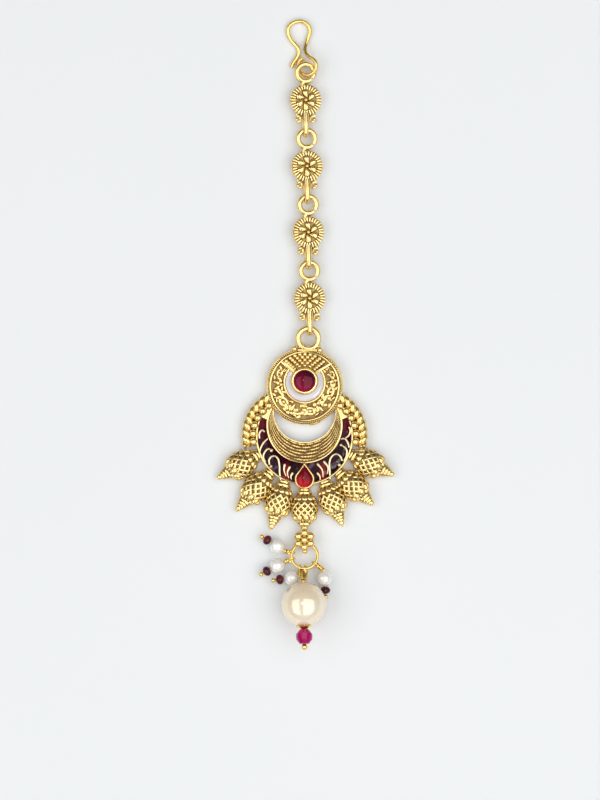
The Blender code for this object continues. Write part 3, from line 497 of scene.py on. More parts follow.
def seated(name, parts, node, finish, smooth=40):
    """The finished piece: joined, brought to the frame, named, shaded and riding on the jewel."""
    piece = moved(joined(parts), TO_FRAME)
    piece.name = name
    piece.data.name = name
    piece.data.materials.clear()
    piece.data.materials.append(finish)
    start()
    piece.select_set(True)
    bpy.context.view_layer.objects.active = piece
    bpy.ops.object.shade_smooth_by_angle(angle=math.radians(smooth))
    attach(piece, "root")
    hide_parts(node)
    return piece


# Pendant's head


def head_disc():
    """Round plate with a rounded lip, a milgrain line, a plain inner ring and the collet."""
    edge = ((HEAD_RADIUS - 0.1, 0), (HEAD_RADIUS, 0.12), (HEAD_RADIUS, 1.80), (HEAD_RADIUS - 0.06, 1.98))
    lip = ((7.88, 2.06), (7.78, 2.02), (7.72, 1.88), (MILGRAIN_ROW, 1.78), (7.48, 1.86), (7.42, 1.84))
    ground = [(GROUND_EDGE, HEAD_GROUND)] + [(GROUND_EDGE - 0.35 * step, HEAD_GROUND) for step in range(1, 8)]
    plate = turned(edge + lip + ((7.38, 1.7), (GROUND_EDGE + 0.04, 1.6), *ground), 120)
    sunk = GROUND_EDGE + 0.02
    tarnished(plate, 0.7, lambda spot: HEAD_GROUND - 0.01 < spot.z < 1.5 and spot.xy.length < sunk)
    count = round(FULL * MILGRAIN_ROW / MILGRAIN_PITCH)
    spots = [polar((0, 0), MILGRAIN_ROW, FULL * step / count, MILGRAIN_Z) for step in range(count)]
    grains = scattered(ball(MILGRAIN_GRAIN, 8, 6), [to(spot) for spot in spots])
    inner = moved(torus(INNER_RING_ROW, INNER_RING_WIRE, 120, 8), to((0, 0, INNER_RING_Z)))
    section = ((COLLET_RADIUS, 0.8), (COLLET_RADIUS, 1.82), (4.38, 1.96), (4.25, 2.0), (4.12, 1.96))
    section += ((COLLET_BORE, 1.82), (COLLET_BORE, 0.8))
    sweep = []
    for angle in arc_angles(math.radians(135), math.radians(398), 64):
        sweep.append([polar((0, COLLET_RISE), out, angle, height) for out, height in section])
    return [plate, grains, inner, skinned(sweep)]


def bezel():
    """Thin wall whose lip is rubbed over the round stone."""
    section = ((BEZEL_RADIUS, 0.8), (BEZEL_RADIUS, 2.55), (2.76, 2.82), (2.62, 2.99), (2.47, 3.03))
    section += ((2.34, 3.01), (2.36, 2.88), (2.45, 2.7), (2.45, 0.8))
    return moved(ring(section, 64), to((0, BEZEL_RISE, 0)))


def wedge():
    """The fan of granules above the bezel, on its bed between two flat bars."""
    centre = (0, BEZEL_RISE)
    first = math.pi / 2 - WEDGE_HALF_ANGLE
    spots = []
    for row in range(GRANULE_ROWS):
        radius = BEZEL_RADIUS + GRANULE_FIRST_GAP + GRANULE_ROW_PITCH * row
        count = GRANULE_FIRST_ROW + row
        for number in range(count):
            angle = first - 0.04 + (2 * WEDGE_HALF_ANGLE + 0.04) * (number + 0.5) / count
            size = GRANULE * (0.92 + 0.12 * row / GRANULE_ROWS)
            spots.append(to(polar(centre, radius, angle, GRANULE_Z)) @ Matrix.Scale(size, 4))
    granules = scattered(ball(1, 16, 10), spots)
    bed = []
    for angle in arc_angles(first - 0.08, math.pi - first, 24):
        inner = BEZEL_RADIUS - 0.1
        outer = reach(centre, angle, (0, 0), GROUND_EDGE + 0.1)
        top = [polar(centre, inner + (outer - inner) * share / 4, angle, WEDGE_BED) for share in range(5)]
        bed.append([polar(centre, outer, angle, 0.9), polar(centre, inner, angle, 0.9)] + top)
    parts = [granules, tarnished(skinned(bed), 0.65)]
    for near, far, width in WEDGE_BARS:
        middle = Vector(((near[0] + far[0]) / 2, (near[1] + far[1]) / 2, GRANULE_Z - 0.01))
        way = Vector((far[0] - near[0], far[1] - near[1], 0))
        parts.append(moved(bar(way.length, width, WEDGE_BAR_HEIGHT), along(middle, way)))
    return parts


def leaf():
    """A small cast leaf, one unit long, broad at its foot and pointed at its tip."""
    piece = ball(0.5, 10, 8)
    for vertex in piece.data.vertices:
        along_leaf = vertex.co.y + 0.5
        vertex.co.x *= 1.25 - 0.95 * along_leaf
        vertex.co.z *= 0.9
    return piece


def looped_leaf():
    """Vine motif: a closed loop with a berry in it and a leaf at each end."""
    angles = arc_angles(0, FULL, 12)[:-1]
    route = [Vector((0.62 * math.cos(a), 0.40 * math.sin(a), 0.1 * math.sin(a))) for a in angles]
    parts = [wire(route, 0.42, 8, closed=True, steps=2)]
    leaves = [along(Vector((0.95, 0.30, 0)), Vector((0.7, 1, 0)), (0.72, 1.1, 0.62))]
    leaves.append(along(Vector((-0.95, -0.25, 0)), Vector((-0.8, -1, 0)), (0.72, 1.15, 0.62)))
    leaves.append(along(Vector((-0.80, 0.62, 0)), Vector((-1, 0.3, 0)), (0.62, 0.9, 0.58)))
    parts.append(scattered(leaf(), leaves))
    parts.append(ball(0.27, 10, 8))
    return joined(parts)


def palmette():
    """Vine motif: narrow leaves that spread from one root."""
    leaves = []
    for number, length in enumerate((1.2, 1.5, 1.3)):
        way = polar((0, 0), 1, math.radians(36 + 52 * number))
        leaves.append(along(Vector((0, -0.75, 0)) + way * (0.22 + length / 2), way, (0.78, length, 0.80)))
    return joined([scattered(leaf(), leaves), moved(ball(0.34, 10, 8), to((0, -0.72, 0.05)))])


def double_scroll():
    """Vine motif: an S of wire with a berry at each end and two leaves on its back."""
    route = []
    for side in (1, -1):
        bow = []
        for share in (1, 0.8, 0.6, 0.4, 0.2):
            angle = math.pi / 2 * (1 - side) + side * (math.pi - 4.4 * share)
            bow.append(polar((side * 0.42, 0), 0.42 * (1 - 0.5 * share), angle, 0.12 * share))
        route += bow[::side]
    parts = [wire(route, 0.46, 8, steps=2)]
    parts.append(scattered(ball(0.33, 10, 8), [to(route[0]), to(route[-1])]))
    leaves = [along(Vector((0.35, 0.78, 0)), Vector((1, 0.5, 0)), (0.66, 1.05, 0.62))]
    leaves.append(along(Vector((-0.35, -0.78, 0)), Vector((-1, -0.4, 0)), (0.66, 1.05, 0.62)))
    parts.append(scattered(leaf(), leaves))
    return joined(parts)


def filigree():
    """Vine on the sunk ground between the collet and the rim: loops, palmettes and scrolls by turns."""
    first = math.pi / 2 + WEDGE_HALF_ANGLE + 0.05
    span = FULL - 2 * WEDGE_HALF_ANGLE - 0.05
    height = HEAD_GROUND + FILIGREE_RISE
    motifs = (looped_leaf(), palmette(), double_scroll())
    parts = []
    for unit in range(FILIGREE_UNITS):
        angle = first + span * (unit + 0.5) / FILIGREE_UNITS
        inner = reach((0, 0), angle, (0, COLLET_RISE), COLLET_RADIUS)
        room = GROUND_EDGE - inner
        size = room * FILIGREE_SIZE
        spot = polar((0, 0), inner + room * 0.5, angle, height)
        lean = math.radians((8, -14, 21, 4, -9)[unit % 5])
        turn = Matrix.Rotation(angle - math.pi / 2 + lean, 4, "Z")
        flip = 1 if unit % 2 else -1
        place = to(spot) @ turn @ Matrix.Diagonal((size * 1.12 * flip, size * flip, 1.05, 1))
        parts.append(copied(motifs[unit % 3], place))
    for motif in motifs:
        bpy.data.objects.remove(motif)
    fillers = []
    for unit in range(FILIGREE_UNITS + 1):
        angle = first + span * unit / FILIGREE_UNITS
        inner = reach((0, 0), angle, (0, COLLET_RISE), COLLET_RADIUS)
        share = (0.14, 0.84)[unit % 2]
        spot = polar((0, 0), inner + (GROUND_EDGE - inner) * share, angle, height - 0.05)
        lean = angle + math.radians((70, 115, 85)[unit % 3])
        fillers.append(along(spot, polar((0, 0), 1, lean), (0.75, 1.5, 0.80)))
    parts.append(scattered(petal(), fillers))
    return parts


def head_eye():
    """The cast ring at the top with its seam, two collar bars, the granules beside them and the tab below."""
    centre = Vector((EYE_SHIFT, EYE_RISE, CHAIN_Z))
    parts = [wire(arc(centre, EYE_RADIUS, EYE_SEAM, FULL - EYE_SEAM, 28), EYE_WIRE, 12, steps=2)]
    parts.append(wire([Vector((x, HEAD_RADIUS - 0.48, 2.0)) for x in (-1.45, 0.55, 2.6)], 0.62, 10))
    parts.append(wire([Vector((x, HEAD_RADIUS + 0.12, 1.9)) for x in (-1.15, 0.6, 2.35)], 0.52, 10))
    places = [to(spot) @ Matrix.Scale(size, 4) for *spot, size in SHOULDER_GRANULES]
    parts.append(scattered(ball(1, 20, 12), places))
    tab = to((2.1, -7.78, 0.9)) @ Matrix.Rotation(0.27, 4, "Z") @ Matrix.Diagonal((1.3, 0.36, 0.7, 1))
    parts.append(moved(ball(1, 12, 8), tab))
    return parts


# Crescent and enamelled frame


def crescent():
    """The moon: a dark bed, six twisted lines that narrow to the horns, and a bright border wire."""
    origin = (0, -BORE_DROP)
    moon = (0, -CRESCENT_DROP)
    tip = polar(moon, CRESCENT_RADIUS, crossing(moon, CRESCENT_RADIUS, (0, 0), HEAD_RADIUS - 0.5))
    end = math.atan2(tip.y - origin[1], tip.x)
    bed = []
    for angle in arc_angles(end, -math.pi - end, 72):
        outer = reach(origin, angle, moon, CRESCENT_RADIUS)
        ends = [CRESCENT_BORE + (outer - CRESCENT_BORE) * share for share in (0, 0.33, 0.66, 1)]
        low = [polar(origin, outer, angle), polar(origin, CRESCENT_BORE, angle)]
        bed.append(low + [polar(origin, out, angle, CRESCENT_GROUND) for out in ends])
    parts = [tarnished(skinned(bed), 1.0)]
    parts += [twisted_line(end, line, strand) for line in range(ROPE_LINES) for strand in (0, 1)]
    rim_end = crossing(moon, CRESCENT_RADIUS, (0, 0), HEAD_RADIUS - 0.35)
    rim_angles = arc_angles(rim_end, -math.pi - rim_end, 48)
    rim = [polar(moon, CRESCENT_RADIUS - 0.12, angle, BORDER_Z) for angle in rim_angles]
    parts.append(wire(rim, BORDER_WIRE, 8, steps=2))
    bore_end = crossing(origin, CRESCENT_BORE, (0, 0), HEAD_RADIUS - 0.3)
    bore_angles = arc_angles(bore_end, -math.pi - bore_end, 36)
    bore = [polar(origin, CRESCENT_BORE + 0.05, angle, BORE_Z) for angle in bore_angles]
    parts.append(wire(bore, BORE_WIRE, 6, steps=2))
    return parts


def twisted_line(end, line, strand):
    """One strand of a twisted line across the crescent, thinner towards the horns."""
    origin = (0, -BORE_DROP)
    turns = round((2 * end + math.pi) * ROPE_REACH / ROPE_PITCH)
    steps = turns * 8
    route = []
    shares = []
    for step, angle in enumerate(arc_angles(end, -math.pi - end, steps)):
        inner = CRESCENT_BORE + 0.06
        outer = reach(origin, angle, (0, -CRESCENT_DROP), CRESCENT_RADIUS) - BORDER_WIRE * 0.7
        room = (outer - inner) / ROPE_LINES
        twist = FULL * (turns * step / steps + strand / 2 + line * 0.3)
        out = inner + room * (line + 0.5 + ROPE_SWING * math.cos(twist))
        height = CRESCENT_GROUND + 0.14 + ROPE_SWING * room * math.sin(twist)
        route.append(polar(origin, out, angle, height))
        shares.append(room / ROPE_ROOM)
    return wire(route, ROPE_GIRTH * ROPE_ROOM, 6, steps=1, shares=shares)


def enamel_tray():
    """Sunk floor of the frame, its wall and the bright line along the wall's top."""
    origin = (0, -FRAME_DROP)
    end = crossing(origin, FRAME_RADIUS, (0, 0), HEAD_RADIUS - 0.5)
    wall = FRAME_RADIUS - FRAME_WALL
    rings = []
    for angle in arc_angles(end, -math.pi - end, 72):
        inner = reach(origin, angle, (0, -CRESCENT_DROP), CRESCENT_RADIUS) - 0.15
        outline = ((inner, FRAME_FOOT), (FRAME_RADIUS, FRAME_FOOT), (FRAME_RADIUS, FRAME_HEIGHT))
        outline += ((wall, FRAME_HEIGHT), (wall, FRAME_FLOOR), (inner, FRAME_FLOOR))
        rings.append([polar(origin, out, angle, height) for out, height in outline])
    middle = FRAME_RADIUS - FRAME_WALL / 2
    line = [polar(origin, middle, angle, FRAME_HEIGHT) for angle in arc_angles(end, -math.pi - end, 48)]
    return [skinned(rings), wire(line, FRAME_WALL, 8, steps=2)]


# Canes over the enamel, left and right, each from its root, as points in the plane
LEFT_CANES = (
    ((-4.95, -19.9), (-5.2, -18.4), (-5.3, -16.4), (-5.75, -15), (-6.6, -14.65), (-7.4, -15.4),
     (-7.35, -16.5)),
    ((-8.15, -16.0), (-8.65, -14.9), (-8.35, -13.9), (-7.6, -13.15), (-7.1, -13.3)),
    ((-9.5, -14.2), (-9.2, -13.0), (-8.6, -11.9), (-7.7, -11.0)),
    ((-9.45, -11.0), (-9.45, -9.9), (-8.9, -9.25), (-8.35, -9.6)),
)
RIGHT_CANES = (
    ((5.35, -19.5), (5.3, -17.8), (5.25, -16.0), (5.7, -14.8), (6.6, -14.25), (7.5, -14.75), (7.9, -15.7)),
    ((8.25, -15.8), (8.85, -14.4), (8.75, -13.2), (8.0, -12.55)),
    ((9.35, -12.9), (9.0, -11.7), (8.3, -11.0), (7.6, -11.1)),
    ((8.6, -10.9), (9.3, -10.3), (9.6, -9.3), (9.3, -8.6)),
)
# across, up and size of the knobs that some canes end in
CANE_ENDS = ((-7.05, -16.85, 0.36), (-6.95, -13.5, 0.42), (7.3, -16.55, 0.42), (7.65, -12.4, 0.34))
FLAME_TIP = 0.27
FLAMES_OUT = 3.85  # how far from the middle line the flames stand
FLAMES = (
    ((-3.9, -18.9), (-4.3, -17.6), (-4.15, -16.5)),
    ((-3.3, -19.3), (-3.6, -18.2), (-3.1, -17.0)),
    ((-2.75, -19.6), (-2.85, -18.9), (-2.5, -18.3)),
    ((3.9, -19.1), (3.7, -17.6), (2.75, -16.4)),
    ((4.8, -18.4), (4.9, -17.0), (4.1, -15.9)),
    ((3.3, -19.7), (3.2, -18.9), (2.7, -18.3)),
)


def canes():
    """Cream-gold scrolls and flames that stand in the enamel."""
    height = ENAMEL_TOP + 0.05
    parts = []
    for route in LEFT_CANES + RIGHT_CANES:
        points = [Vector((x, y, height)) for x, y in route]
        parts.append(wire(points, SCROLL_WIRE, 8, shares=[0.9] + [1.0] * (len(points) - 2) + [0.85]))
    for route in FLAMES:
        points = [Vector((x, y, height)) for x, y in route]
        parts.append(wire(points, SCROLL_WIRE, 8, shares=[0.45, 0.85, 1.35]))
    knobs = CANE_ENDS + tuple((*route[-1], FLAME_TIP) for route in FLAMES)
    places = [to((x, y, height)) @ Matrix.Scale(size, 4) for x, y, size in knobs]
    parts.append(scattered(ball(1, 12, 8), places))
    return parts


def tear_outline(radius, height, sides=40):
    """A drop round its bulb's centre, its point towards +Y."""
    bulb = Vector((0, -TEAR_DROP, height))
    point = bulb + Y_AXIS * (radius / math.sin(TEAR_POINT))
    return arc(bulb, radius, math.pi - TEAR_POINT, FULL + TEAR_POINT, sides - 2) + [point]


def tear_setting():
    """Block and thin lip round the drop-shaped stone."""
    section = ((0.03, 0.15), (0, 0.3), (0, 2.1), (0.08, 2.32), (0.2, 2.42), (0.32, 2.42), (0.4, 2.3))
    outer = TEAR_RADIUS + TEAR_WALL
    rings = [tear_outline(outer - inset, height) for inset, height in section]
    return skinned(rings + [tear_outline(outer - 0.4, 1.6)])


# Side bands, spear drops and rosette


def side_band(side):
    """A rope of twisted strands outside a row of beads, from the head's rim to the outer spear drops."""
    centre = Vector((side * BAND_X, -FRAME_DROP, BAND_AXIS))
    parts = []
    steps = 60
    for strand in range(ROPE_STRANDS):
        route = []
        for step in range(steps + 1):
            share = step / steps
            angle = mirrored(BAND_START + (BAND_END - BAND_START) * share, side)
            twist = FULL * (ROPE_TURNS * share + strand / ROPE_STRANDS)
            out = BAND_RADIUS + STRAND_OFFSET * math.cos(twist)
            route.append(polar(centre, out, angle, BAND_AXIS + STRAND_OFFSET * 0.9 * math.sin(twist)))
        parts.append(wire(route, STRAND_WIRE, 10, steps=1))
    beads = []
    for number in range(BAND_BEADS):
        share = (number + 0.35) / BAND_BEADS
        angle = mirrored(BAND_START - 0.06 + (BAND_END - BAND_START) * share, side)
        spot = polar(centre, BEAD_ROW, angle, BAND_AXIS + BEAD_RISE)
        beads.append(to(spot) @ Matrix.Scale(BAND_BEAD, 4))
    parts.append(scattered(ball(1, 16, 12), beads))
    return parts


def round_of(model, count, radius, height, slope, size, turn=0.0):
    """Copies of a small piece round the drop's axis, each leaning by a slope."""
    places = []
    for step in range(count):
        angle = FULL * (step + turn) / count
        place = Matrix.Rotation(angle, 4, "Z") @ to((radius, 0, height))
        place @= Matrix.Rotation(slope, 4, "Y") @ Matrix.Diagonal((*size, 1))
        places.append(place)
    return scattered(model, places)


def belly(height):
    """Radius of a spear drop's belly at a height above its base."""
    return 2.80 - 0.13 * (height - 4.3) ** 2


def diamond_net():
    """Flat bars that wind both ways over the drop's belly and cross as diamonds."""
    steps = 10
    parts = []
    for hand in (1, -1):
        section = []
        for step in range(steps + 1):
            share = step / steps
            height = NET_FIRST + (NET_LAST - NET_FIRST) * share
            angle = hand * NET_SWEEP * (share - 0.5)
            out = Vector((math.cos(angle), math.sin(angle), 0))
            round_way = Vector((-math.sin(angle), math.cos(angle), 0)) * hand * belly(height) * NET_SWEEP
            way = (round_way + Z_AXIS * (NET_LAST - NET_FIRST)).normalized()
            side = way.cross(out) * NET_BAR / 2
            middle = out * belly(height) + Z_AXIS * height
            section.append([middle + side * wide + out * thick for wide, thick in NET_SECTION])
        turns = [Matrix.Rotation(FULL * number / NET_BARS, 4, "Z") for number in range(NET_BARS)]
        parts.append(scattered(skinned(section), turns))
    return joined(parts)


def spear_head():
    """Collar, leaf shoulder, belly with its net, granules and fluted cup, upright from its base."""
    body = [(0.95, -0.3), (0.95, 0.5), (0.9, 0.85), (1.0, 1.2), (1.35, 1.6), (1.75, 2.0), (2.2, 2.5)]
    body += [(belly(height) - 0.2, height) for height in (2.8, 3.3, 3.8, 4.3, 4.8, 5.3, 5.8)]
    body += [(2.1, 6.1), (1.72, 6.5), (1.32, 6.95), (1.05, 7.3), (1.05, 7.7)]
    parts = [tarnished(turned(body, 32), 0.7, lambda spot: spot.z > 1.3)]
    parts.append(moved(torus(1.05, 0.50, 28), to((0, 0, 0.3))))
    parts.append(moved(torus(1.34, 0.60, 32), to((0, 0, 0.95))))
    shoulder = moved(petal(), Matrix.Rotation(math.radians(-90), 4, "Z"))
    parts.append(round_of(shoulder, 10, 1.72, 1.82, math.radians(-46), (1.95, 1.42, 0.86), 0.5))
    parts.append(diamond_net())
    parts.append(round_of(ball(1, 14, 10), 9, 2.06, 6.08, math.radians(-24), (0.64, 0.68, 0.82), 0.0))
    parts.append(round_of(ball(1, 8, 8), 14, 1.52, 6.86, math.radians(-42), (0.26, 0.26, 0.66), 0.0))
    parts.append(moved(torus(1.26, 0.60, 32), to((0, 0, 7.42))))
    return parts


def spear_tip():
    """Stepped rings that narrow to a ball with a small nib."""
    profile = ((1.1, 7.5), (0.9, 8.0), (0.6, 8.5), (0.35, 8.95), (0.35, 9.5), (0.24, 9.8), (0.06, 10.15))
    parts = [tarnished(turned(profile, 20), 0.6, lambda spot: spot.z < 9.5)]
    for radius, girth, height in ((1.0, 0.62, 8.02), (0.70, 0.58, 8.58)):
        parts.append(moved(torus(radius, girth, 24), to((0, 0, height))))
    parts.append(moved(ball(0.62), to((0, 0, 9.18))))
    return parts


def spear_stub():
    """The middle drop's end: a short neck and a ring under the rosette."""
    core = turned(((1.1, 7.6), (0.7, 8.0), (0.6, 8.9)), 20)
    return [core, moved(torus(0.62, 0.5, 24), to((0, 0, 8.3)))]


def laid(parts):
    """The upright drop laid on its back along -Y, flattened and flat where it meets the table."""
    drop = moved(joined(parts), Matrix.Rotation(math.pi / 2, 4, "X"))
    moved(drop, to((0, 0, SPEAR_AXIS)) @ Matrix.Diagonal((1, 1, SPEAR_FLATNESS, 1)))
    return cut_flat(drop, SPEAR_BACK)


def spears():
    """Six pointed drops and the short one in the middle, as name and shape."""
    origin = (0, -FRAME_DROP)
    pointed = laid(spear_head() + spear_tip())
    made = []
    for side, word in ((-1, "left"), (1, "right")):
        for number, (base, heading, stretch) in enumerate(SPEAR_ROWS[word], 1):
            spot = polar(origin, FRAME_RADIUS, mirrored(-math.radians(base), side))
            turn = Matrix.Rotation(mirrored(-math.radians(heading), side) + math.pi / 2, 4, "Z")
            drop = copied(pointed, to(spot) @ turn @ Matrix.Diagonal((1, stretch, 1, 1)))
            made.append((f"spear_drop_{word}_{number}", drop))
    bpy.data.objects.remove(pointed)
    middle = moved(laid(spear_head() + spear_stub()), to((0, -SPEAR_FOOT, 0)))
    made.append(("spear_drop_middle", middle))
    return made


def rosette():
    """Cluster of granules with the eye for the drop ring behind it."""
    centre = (0, -ROSETTE_DROP)
    spots = [Vector((*centre, ROSETTE_Z + 0.12))]
    for step in range(6):
        spots.append(polar(centre, ROSETTE_RADIUS, math.pi / 6 + FULL * step / 6, ROSETTE_Z))
    places = [to(spot) @ Matrix.Scale(ROSETTE_GRANULE, 4) for spot in spots]
    lower = to((0.1, -ROSETTE_DROP - 2.35, 1.5)) @ Matrix.Scale(ROSETTE_TAIL, 4)
    parts = [scattered(ball(1, 20, 14), places + [lower])]
    bed = turned(((1.3, 1.5), (1.75, 1.62), (1.75, 1.95), (1.3, 2.05)), 24)
    parts.append(moved(bed, to((*centre, 0))))
    eye = arc(Vector((0, -TAIL_EYE_DROP, TAIL_EYE_Z)), TAIL_EYE_RADIUS, 0, FULL, 16, Y_AXIS, Z_AXIS)
    parts.append(wire(eye[:-1], TAIL_EYE_WIRE, 8, closed=True, steps=2))
    post = [Vector((0, -ROSETTE_DROP + 1.9, 1.15)), Vector((0, -ROSETTE_DROP + 0.6, 1.7))]
    parts.append(wire(post, 1.0, 8, steps=1))
    return parts


# Chain and hook


def petal():
    """A comma-shaped petal, one unit long, broad outside and drawn to a tip at its root."""
    piece = ball(0.5, 16, 12)
    for vertex in piece.data.vertices:
        out = vertex.co.y + 0.5
        vertex.co.x = vertex.co.x * (0.2 + 1.1 * out) + 0.22 * (out - 0.4) ** 2
    return piece


def flower_link():
    """One cast link round its flower's middle: open ring, ribbed disc, petals, upright loop and curls."""
    dish = ((3.02, -0.85), (3.24, -0.6), (3.3, 0.15), (3.2, 0.34), (2.9, 0.40), (2.5, 0.40), (2.15, 0.30))
    plate = turned(dish + ((1.6, 0.22), (1.1, 0.22), (0.6, 0.24)), 60)
    parts = [tarnished(plate, 0.62, lambda spot: spot.z > 0.18)]
    ribs = []
    for number in range(LINK_RIBS):
        angle = FULL * number / LINK_RIBS
        ribs.append(along(polar((0, 0), LINK_RIB_ROW, angle, 0.42), polar((0, 0), 1, angle, -0.08)))
    parts.append(scattered(bar(1.14, 0.33, 0.62), ribs))
    petals = []
    for number in range(LINK_PETALS):
        angle = math.pi / 2 + FULL * number / LINK_PETALS
        way = polar((0, 0), 1, angle + 0.34, 0.06)
        petals.append(along(polar((0, 0), LINK_PETAL_ROW, angle, 0.52), way, (1.55, 2.0, 0.95)))
    parts.append(scattered(petal(), petals))
    parts.append(moved(ball(0.40, 14, 10), to((0, 0, 0.72))))
    centre = Vector((0, RING_RISE, 0))
    bow = arc(centre, RING_RADIUS, math.radians(-38), math.radians(309), 24)
    parts.append(wire(bow, RING_WIRE, 12, steps=2, shares=[0.85] + [1.0] * 24))
    root = [Vector((x, y, 0)) for x, y in ((-0.7, 2.8), (-0.55, 3.5), (-0.35, 4.0))]
    parts.append(wire(root, RING_WIRE, 10, steps=2))
    loop = arc(-Y_AXIS * LOOP_REACH, LOOP_RADIUS, math.radians(70), math.radians(290), 14, Y_AXIS, Z_AXIS)
    roots = [Vector((0, -LOOP_ROOT, height)) for height in (LOOP_ROOT_HALF, -LOOP_ROOT_HALF)]
    shares = [1.7, 1.25] + [1.0] * 13 + [1.25, 1.7]
    parts.append(wire(roots[:1] + loop + roots[1:], LOOP_WIRE, 12, steps=2, shares=shares))
    for side in (-1, 1):
        curl = [Vector((side * 1.5, -2.7, 0.1))]
        for step in range(9):
            share = step / 8
            angle = math.pi / 2 - side * (0.4 - 4.6 * share)
            curl.append(polar((side * 1.62, -3.95), 0.72 * (1 - 0.5 * share), angle, 0.1))
        parts.append(wire(curl, LINK_CURL_WIRE, 8, steps=2, shares=[1.0] * 8 + [0.9, 0.8]))
        parts.append(moved(ball(LINK_CURL_BALL, 12, 8), to(curl[-1] + Z_AXIS * 0.1)))
    return joined(parts)


def links():
    """The four links, as name and shape."""
    model = flower_link()
    made = []
    for number, shift in enumerate(LINK_SHIFTS, 1):
        centre = Vector((shift, LINK_LOWEST + LINK_PITCH * (len(LINK_SHIFTS) - number), CHAIN_Z))
        place = to(centre) @ Matrix.Rotation(LINK_ROLL, 4, "Y")
        made.append((f"flower_link_{number}", copied(model, place)))
    bpy.data.objects.remove(model)
    return made


def hook():
    """Bent wire: an open bow above and a tilted eye through the first link's ring."""
    first_ring = LINK_LOWEST + LINK_PITCH * (len(LINK_SHIFTS) - 1) + RING_RISE
    centre = Vector((HOOK_SHIFT, first_ring + HOOK_EYE_RISE, CHAIN_Z))
    along_eye = (HOOK_EYE_RISE**2 + HOOK_EYE_RADIUS**2 - RING_RADIUS**2) / (2 * HOOK_EYE_RISE)
    meeting = math.sqrt(HOOK_EYE_RADIUS**2 - along_eye**2)
    slope = ((HOOK_WIRE + RING_WIRE) / 2 + 0.3) / meeting - math.tan(LINK_ROLL)
    eye = []
    for point in arc(Vector(), HOOK_EYE_RADIUS, math.radians(50), math.radians(118) - FULL, 24):
        eye.append(centre + point + Z_AXIS * (slope * point.x))
    stem = [Vector((centre.x + x * HOOK_WIDTH, centre.y + y * HOOK_HEIGHT, HOOK_LOW)) for x, y in HOOK_ROWS]
    level = centre.z + slope * (stem[0].x - centre.x)
    for number, share in enumerate((1.0, 0.66, 0.33)):
        stem[number].z = HOOK_LOW + (level - HOOK_LOW) * share
    return [wire(stem[::-1] + eye, HOOK_WIRE, 12, steps=6)]


# Drops


def ring_point(angle):
    """A place on the drop ring's wire and the wire's way there."""
    tilt = Matrix.Rotation(-DROP_RING_TILT, 3, "X")
    top = Vector((0, -TAIL_EYE_DROP, TAIL_EYE_Z))
    spot = tilt @ (polar((0, 0), DROP_RING_RADIUS, angle) - Y_AXIS * DROP_RING_RADIUS)
    return top + spot, tilt @ polar((0, 0), 1, angle + math.pi / 2)


def stem_start(row, tilt, pearl_radius):
    """Where a pin enters its pearl, and the stem's way."""
    place, neck_way, stem_way, neck = row
    spot = ring_point(math.radians(place))[0]
    stem = polar((0, 0), math.cos(tilt), math.radians(stem_way), math.sin(tilt))
    height = pearl_radius * (1 - math.sin(tilt)) - PIN_CLEARANCE * math.sin(tilt)
    return polar(spot, neck, math.radians(neck_way), height), stem


def pin(row, tilt, pearl_radius, gauges, stem_length):
    """A head pin: its loop on the ring, coiled neck, stem and ball."""
    gauge, loop_radius, wrap_radius, ball_radius = gauges
    spot, tangent = ring_point(math.radians(row[0]))
    entry, stem = stem_start(row, tilt, pearl_radius)
    way = (entry - spot).normalized()
    face = (tangent - way * tangent.dot(way)).normalized()
    side = face.cross(way)
    loop = arc(spot, loop_radius, 0.5, FULL, 16, way, side)
    length = (entry - spot).length - loop_radius
    coil = []
    turns = max(2, round(length / (gauge * 1.15)))
    steps = 10
    for step in range(turns * steps + 1):
        angle = FULL * step / steps
        at = loop_radius * 0.85 + length * 0.92 * step / (turns * steps)
        offset = face * math.cos(angle) + side * math.sin(angle)
        coil.append(spot + way * at + offset * (wrap_radius - gauge / 2))
    parts = [wire(loop + [spot + way * (loop_radius + length * 0.5), entry], gauge, 8, steps=2)]
    parts.append(wire(coil, gauge, 6, steps=1))
    end = entry + stem * stem_length
    parts.append(wire([entry, end], gauge, 8, steps=1))
    knob = to(end + stem * (ball_radius * 0.9)) @ Matrix.Scale(ball_radius, 4)
    parts.append(moved(ball(1, 16, 12), knob))
    return parts


def strung(piece, spot, way):
    """The piece, made round +Z, strung on a stem that runs along a way, its middle at a spot."""
    return moved(piece, to(spot) @ way.to_track_quat("Z", "Y").to_matrix().to_4x4())


def bead(radius, half, bore, sides=32, rings=16):
    """A drilled round bead, as long as twice its half."""
    edge = math.acos(bore / radius)
    section = []
    for angle in arc_angles(-edge, edge, rings):
        section.append((radius * math.cos(angle), half * math.sin(angle) / math.sin(edge)))
    return ring(section, sides)


# Finishes


class Level:
    """A shader value that can be reckoned with."""

    def __init__(self, finish, socket):
        self.finish = finish
        self.socket = socket

    def sum(self, operation, first, second):
        return self.finish.add("ShaderNodeMath", {"operation": operation}, {0: first, 1: second})

    def __add__(self, other):
        return self.sum("ADD", self, other)

    def __sub__(self, other):
        return self.sum("SUBTRACT", self, other)

    def __rsub__(self, other):
        return self.sum("SUBTRACT", other, self)

    def __mul__(self, other):
        return self.sum("MULTIPLY", self, other)

    __radd__ = __add__
    __rmul__ = __mul__


